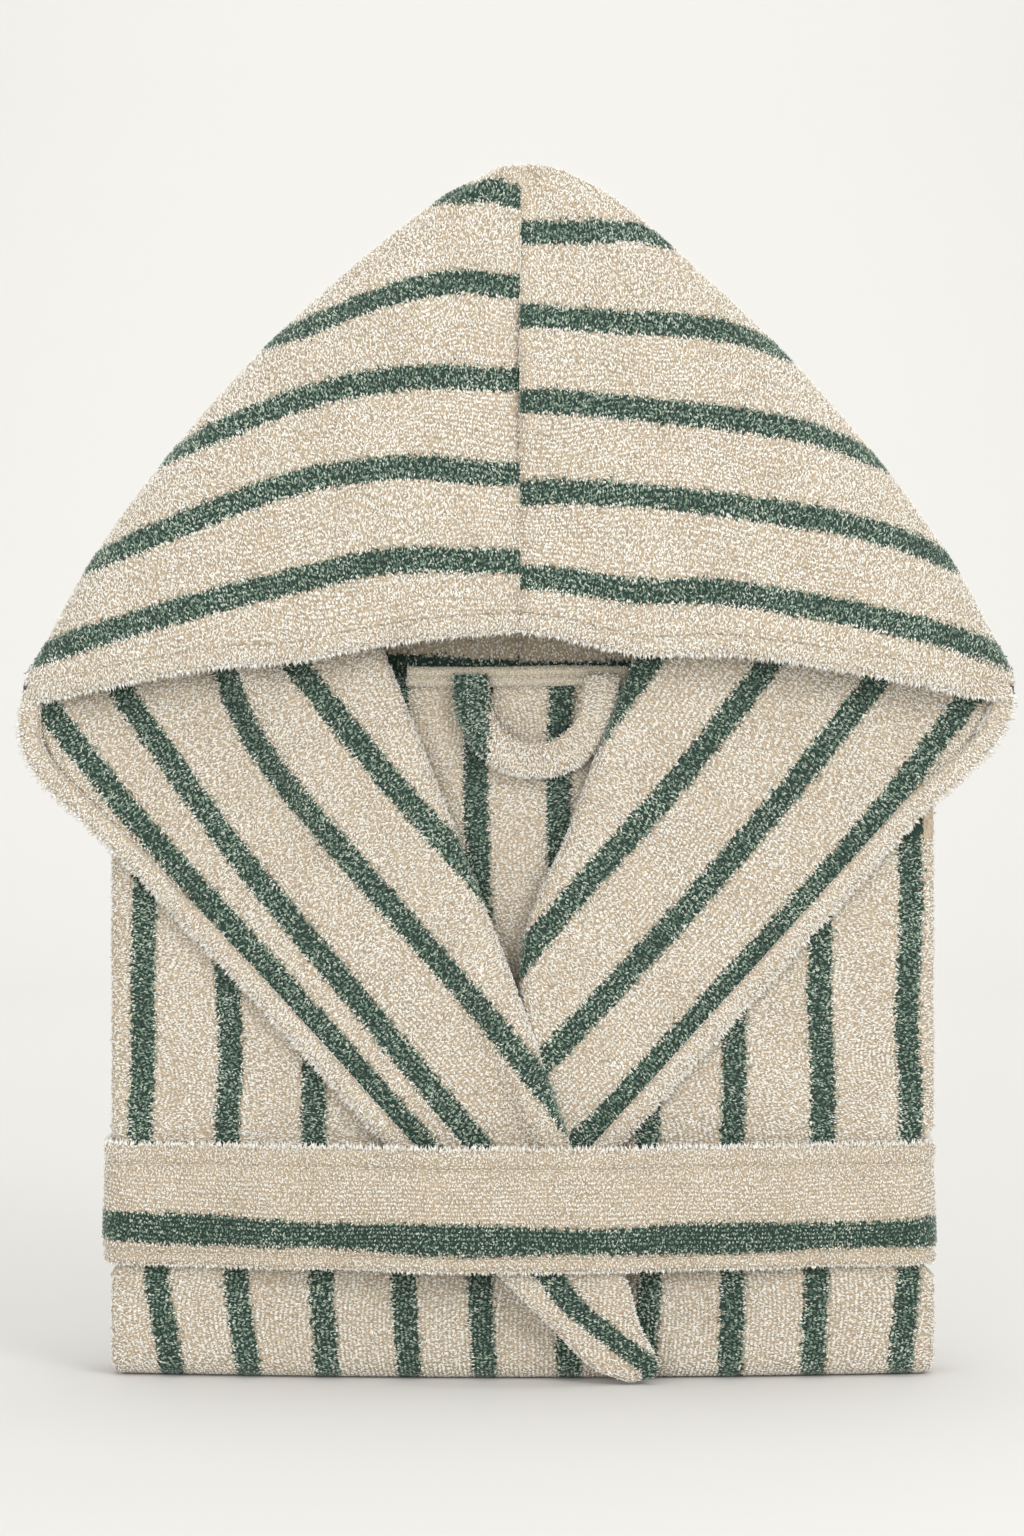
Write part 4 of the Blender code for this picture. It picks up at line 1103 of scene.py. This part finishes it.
def tail_depth(x, z):
    return -(half_depth(x) + mix(0.0080, 0.0115, smooth_step(0.008, 0.040, z)))


def make_belt_tail():
    """The belt's free end: tucked behind the band, then hanging down in front of the body."""
    t = np.linspace(0, 1, 64)
    b = eased(31, 0.5)[None, :]
    left, right = along(TAIL_LEFT, t), along(TAIL_RIGHT, t)
    x = mix(left[:, None, 0], right[:, None, 0], b)
    z = mix(left[:, None, 1], right[:, None, 1], b)
    width = np.maximum(np.linalg.norm(right - left, axis=1), 0.006)[:, None]
    to_side = np.minimum(b, 1 - b) * width
    to_tip = (1 - t)[:, None] * 0.075
    to_edge = np.minimum(to_side, to_tip)
    back = tail_depth(x, z)
    outer = stack(x, back - BELT_THICK + rounded(to_edge, 0.0020), z)
    inner = stack(x, back - rounded(to_edge, 0.0020), z)
    middle = mix(0.40, 0.98, smooth_step(0.3, 1.0, t))[:, None]
    gap = np.abs(b - middle) * width * 0.82
    across = np.stack([right[:, 0] - left[:, 0], 0 * t, right[:, 1] - left[:, 1]], 1)
    comb = np.broadcast_to(unit(across)[:, None], outer.shape)
    cloth = Cloth("belt_tail_cloth", outer, inner, gap, comb)
    seam_in = 0.0065
    seam = mix(0.35, 1.0, smooth_step(0.0004, 0.0016, np.abs(to_side - seam_in)))
    grow_pile(cloth, FRONT_DENSITY, seam * (z <= BELT_LOW + 0.004))
    for word, side_line, sign in (("left", left, -1), ("right", right, 1)):
        low = side_line[:, 1] < BELT_LOW + 0.004
        edge_x, edge_z = side_line[low].T
        line = stack(edge_x, tail_depth(edge_x, edge_z) - BELT_THICK * 0.6, edge_z)
        out = unit(across[low]) * sign
        grow_fringe(cloth, f"tail_fringe_{word}", line - out * 0.0006, out, (0, -1, 0), 0.0017)
        stitch = line - out * seam_in
        stitch[:, 1] -= BELT_THICK * 0.42
        sew(cloth, f"tail_stitches_{word}", stitch[:-8], (0, -1, 0))
    settle(cloth, ("belt", "tail", (0, 0, 0.0450), (0, 0, 0.0405)), ["belt_tail", "belt_tail_tuck"])


def make_belt_carriers():
    """The thread loops on the side seams that hold the belt when the robe is worn."""
    for side, word in SIDES.items():
        y = np.linspace(*CARRIER_Y, 13)[:, None]
        z = np.linspace(*CARRIER_Z, 200)[None, :]
        near = side * pinched(side * HALF_WIDTH, z) + 0.0003
        edge = np.minimum(y - CARRIER_Y[0], CARRIER_Y[1] - y)
        stitch = 0.5 + 0.5 * np.sin(z * 2600 + 900 * (y + 0.0062))
        ends = rounded(np.minimum(z - CARRIER_Z[0], CARRIER_Z[1] - z), 0.0014)
        rib = 0.0006 * (stitch - 1) * smooth_step(0, 0.001, edge)
        outer = stack(side * (near + 0.0018 - np.maximum(rounded(edge, 0.0012), ends) + rib), y, z)
        inner = stack(side * near, y + 0 * z, z)
        cloth = Cloth(f"belt_carrier_cloth_{word}", outer, inner, *plain_fields(outer), STRAP)
        settle(cloth, "folded_robe", [f"belt_carrier_{word}"])


# ------------------------------------------------------------------ studio
def make_backdrop():
    """A pale seamless floor and wall."""
    width, depth, height, bend = 12.0, 4.2, 5.0, 1.4
    profile = [(-8.0, FLOOR), (depth - bend, FLOOR)]
    profile += [(depth - bend + bend * np.sin(a), FLOOR + bend * (1 - np.cos(a)))
                for a in np.linspace(0, pi / 2, 13)[1:]]
    profile.append((depth, height))
    points = np.array([(x, y, z) for y, z in profile for x in (-width, width)])
    faces = np.array([(2 * k, 2 * k + 1, 2 * k + 3, 2 * k + 2) for k in range(len(profile) - 1)])
    backdrop = add_mesh("backdrop", mesh_from_arrays("backdrop", points, faces))
    paper = plain_material("paper", srgb(221, 220, 217), sheen=0.0, roughness=1.0, specular=0.0)
    backdrop.data.materials.append(paper)


def make_lights():
    """A big soft light from the upper right, a fill from the left, and light on floor and wall."""
    world = bpy.data.worlds.new("studio")
    world.use_nodes = True
    ambient = world.node_tree.nodes["Background"]
    ambient.inputs["Color"].default_value = (1.0, 0.995, 0.985, 1.0)
    ambient.inputs["Strength"].default_value = 0.80
    bpy.context.scene.world = world
    for name, place, target, size, power, color in (
            ("key", (1.00, -1.50, 1.00), (0.0, 0.0, 0.20), 0.8, 14.5, (1.0, 0.99, 0.97)),
            ("fill", (-0.7, -1.8, 0.20), (0.0, 0.0, 0.05), 1.2, 17.5, (1.0, 1.0, 1.0)),
            ("top", (0.0, 0.4, 2.4), (0.0, 1.8, 0.5), 2.0, 17.0, (1.0, 1.0, 1.0)),
            ("wall", (0.0, 2.6, 3.0), (0.0, 4.2, 0.9), 2.4, 34.0, (1.0, 1.0, 1.0))):
        light = bpy.data.lights.new(name, "AREA")
        light.size, light.energy, light.color = size, power, color
        lamp = add_object(name, light)
        lamp.location = place
        lamp.visible_camera = False
        lamp.rotation_euler = (Vector(target) - Vector(place)).to_track_quat("-Z", "Y").to_euler()


def make_camera():
    """A level camera in front."""
    camera_data = bpy.data.cameras.new("camera")
    camera_data.lens = CAMERA_LENS
    camera_data.clip_end = 20.0
    camera = add_object("camera", camera_data)
    camera.location = CAMERA_PLACE
    camera.rotation_euler = (pi / 2, 0.0, 0.0)
    bpy.context.scene.camera = camera
    bpy.context.scene.view_settings.view_transform = "Standard"


def main():
    make_backdrop()
    make_lights()
    make_camera()
    make_sleeves()
    for side in SIDES:
        make_front_panel(side)
        make_lapel(side)
        make_hood_panel(side)
        make_edge_hem(side)
    make_back_panel()
    make_bottom_hem()
    make_pockets()
    make_neck_tape()
    make_hanger_loop()
    make_hood_tape()
    make_belt()
    make_belt_tail()
    make_belt_carriers()


main()
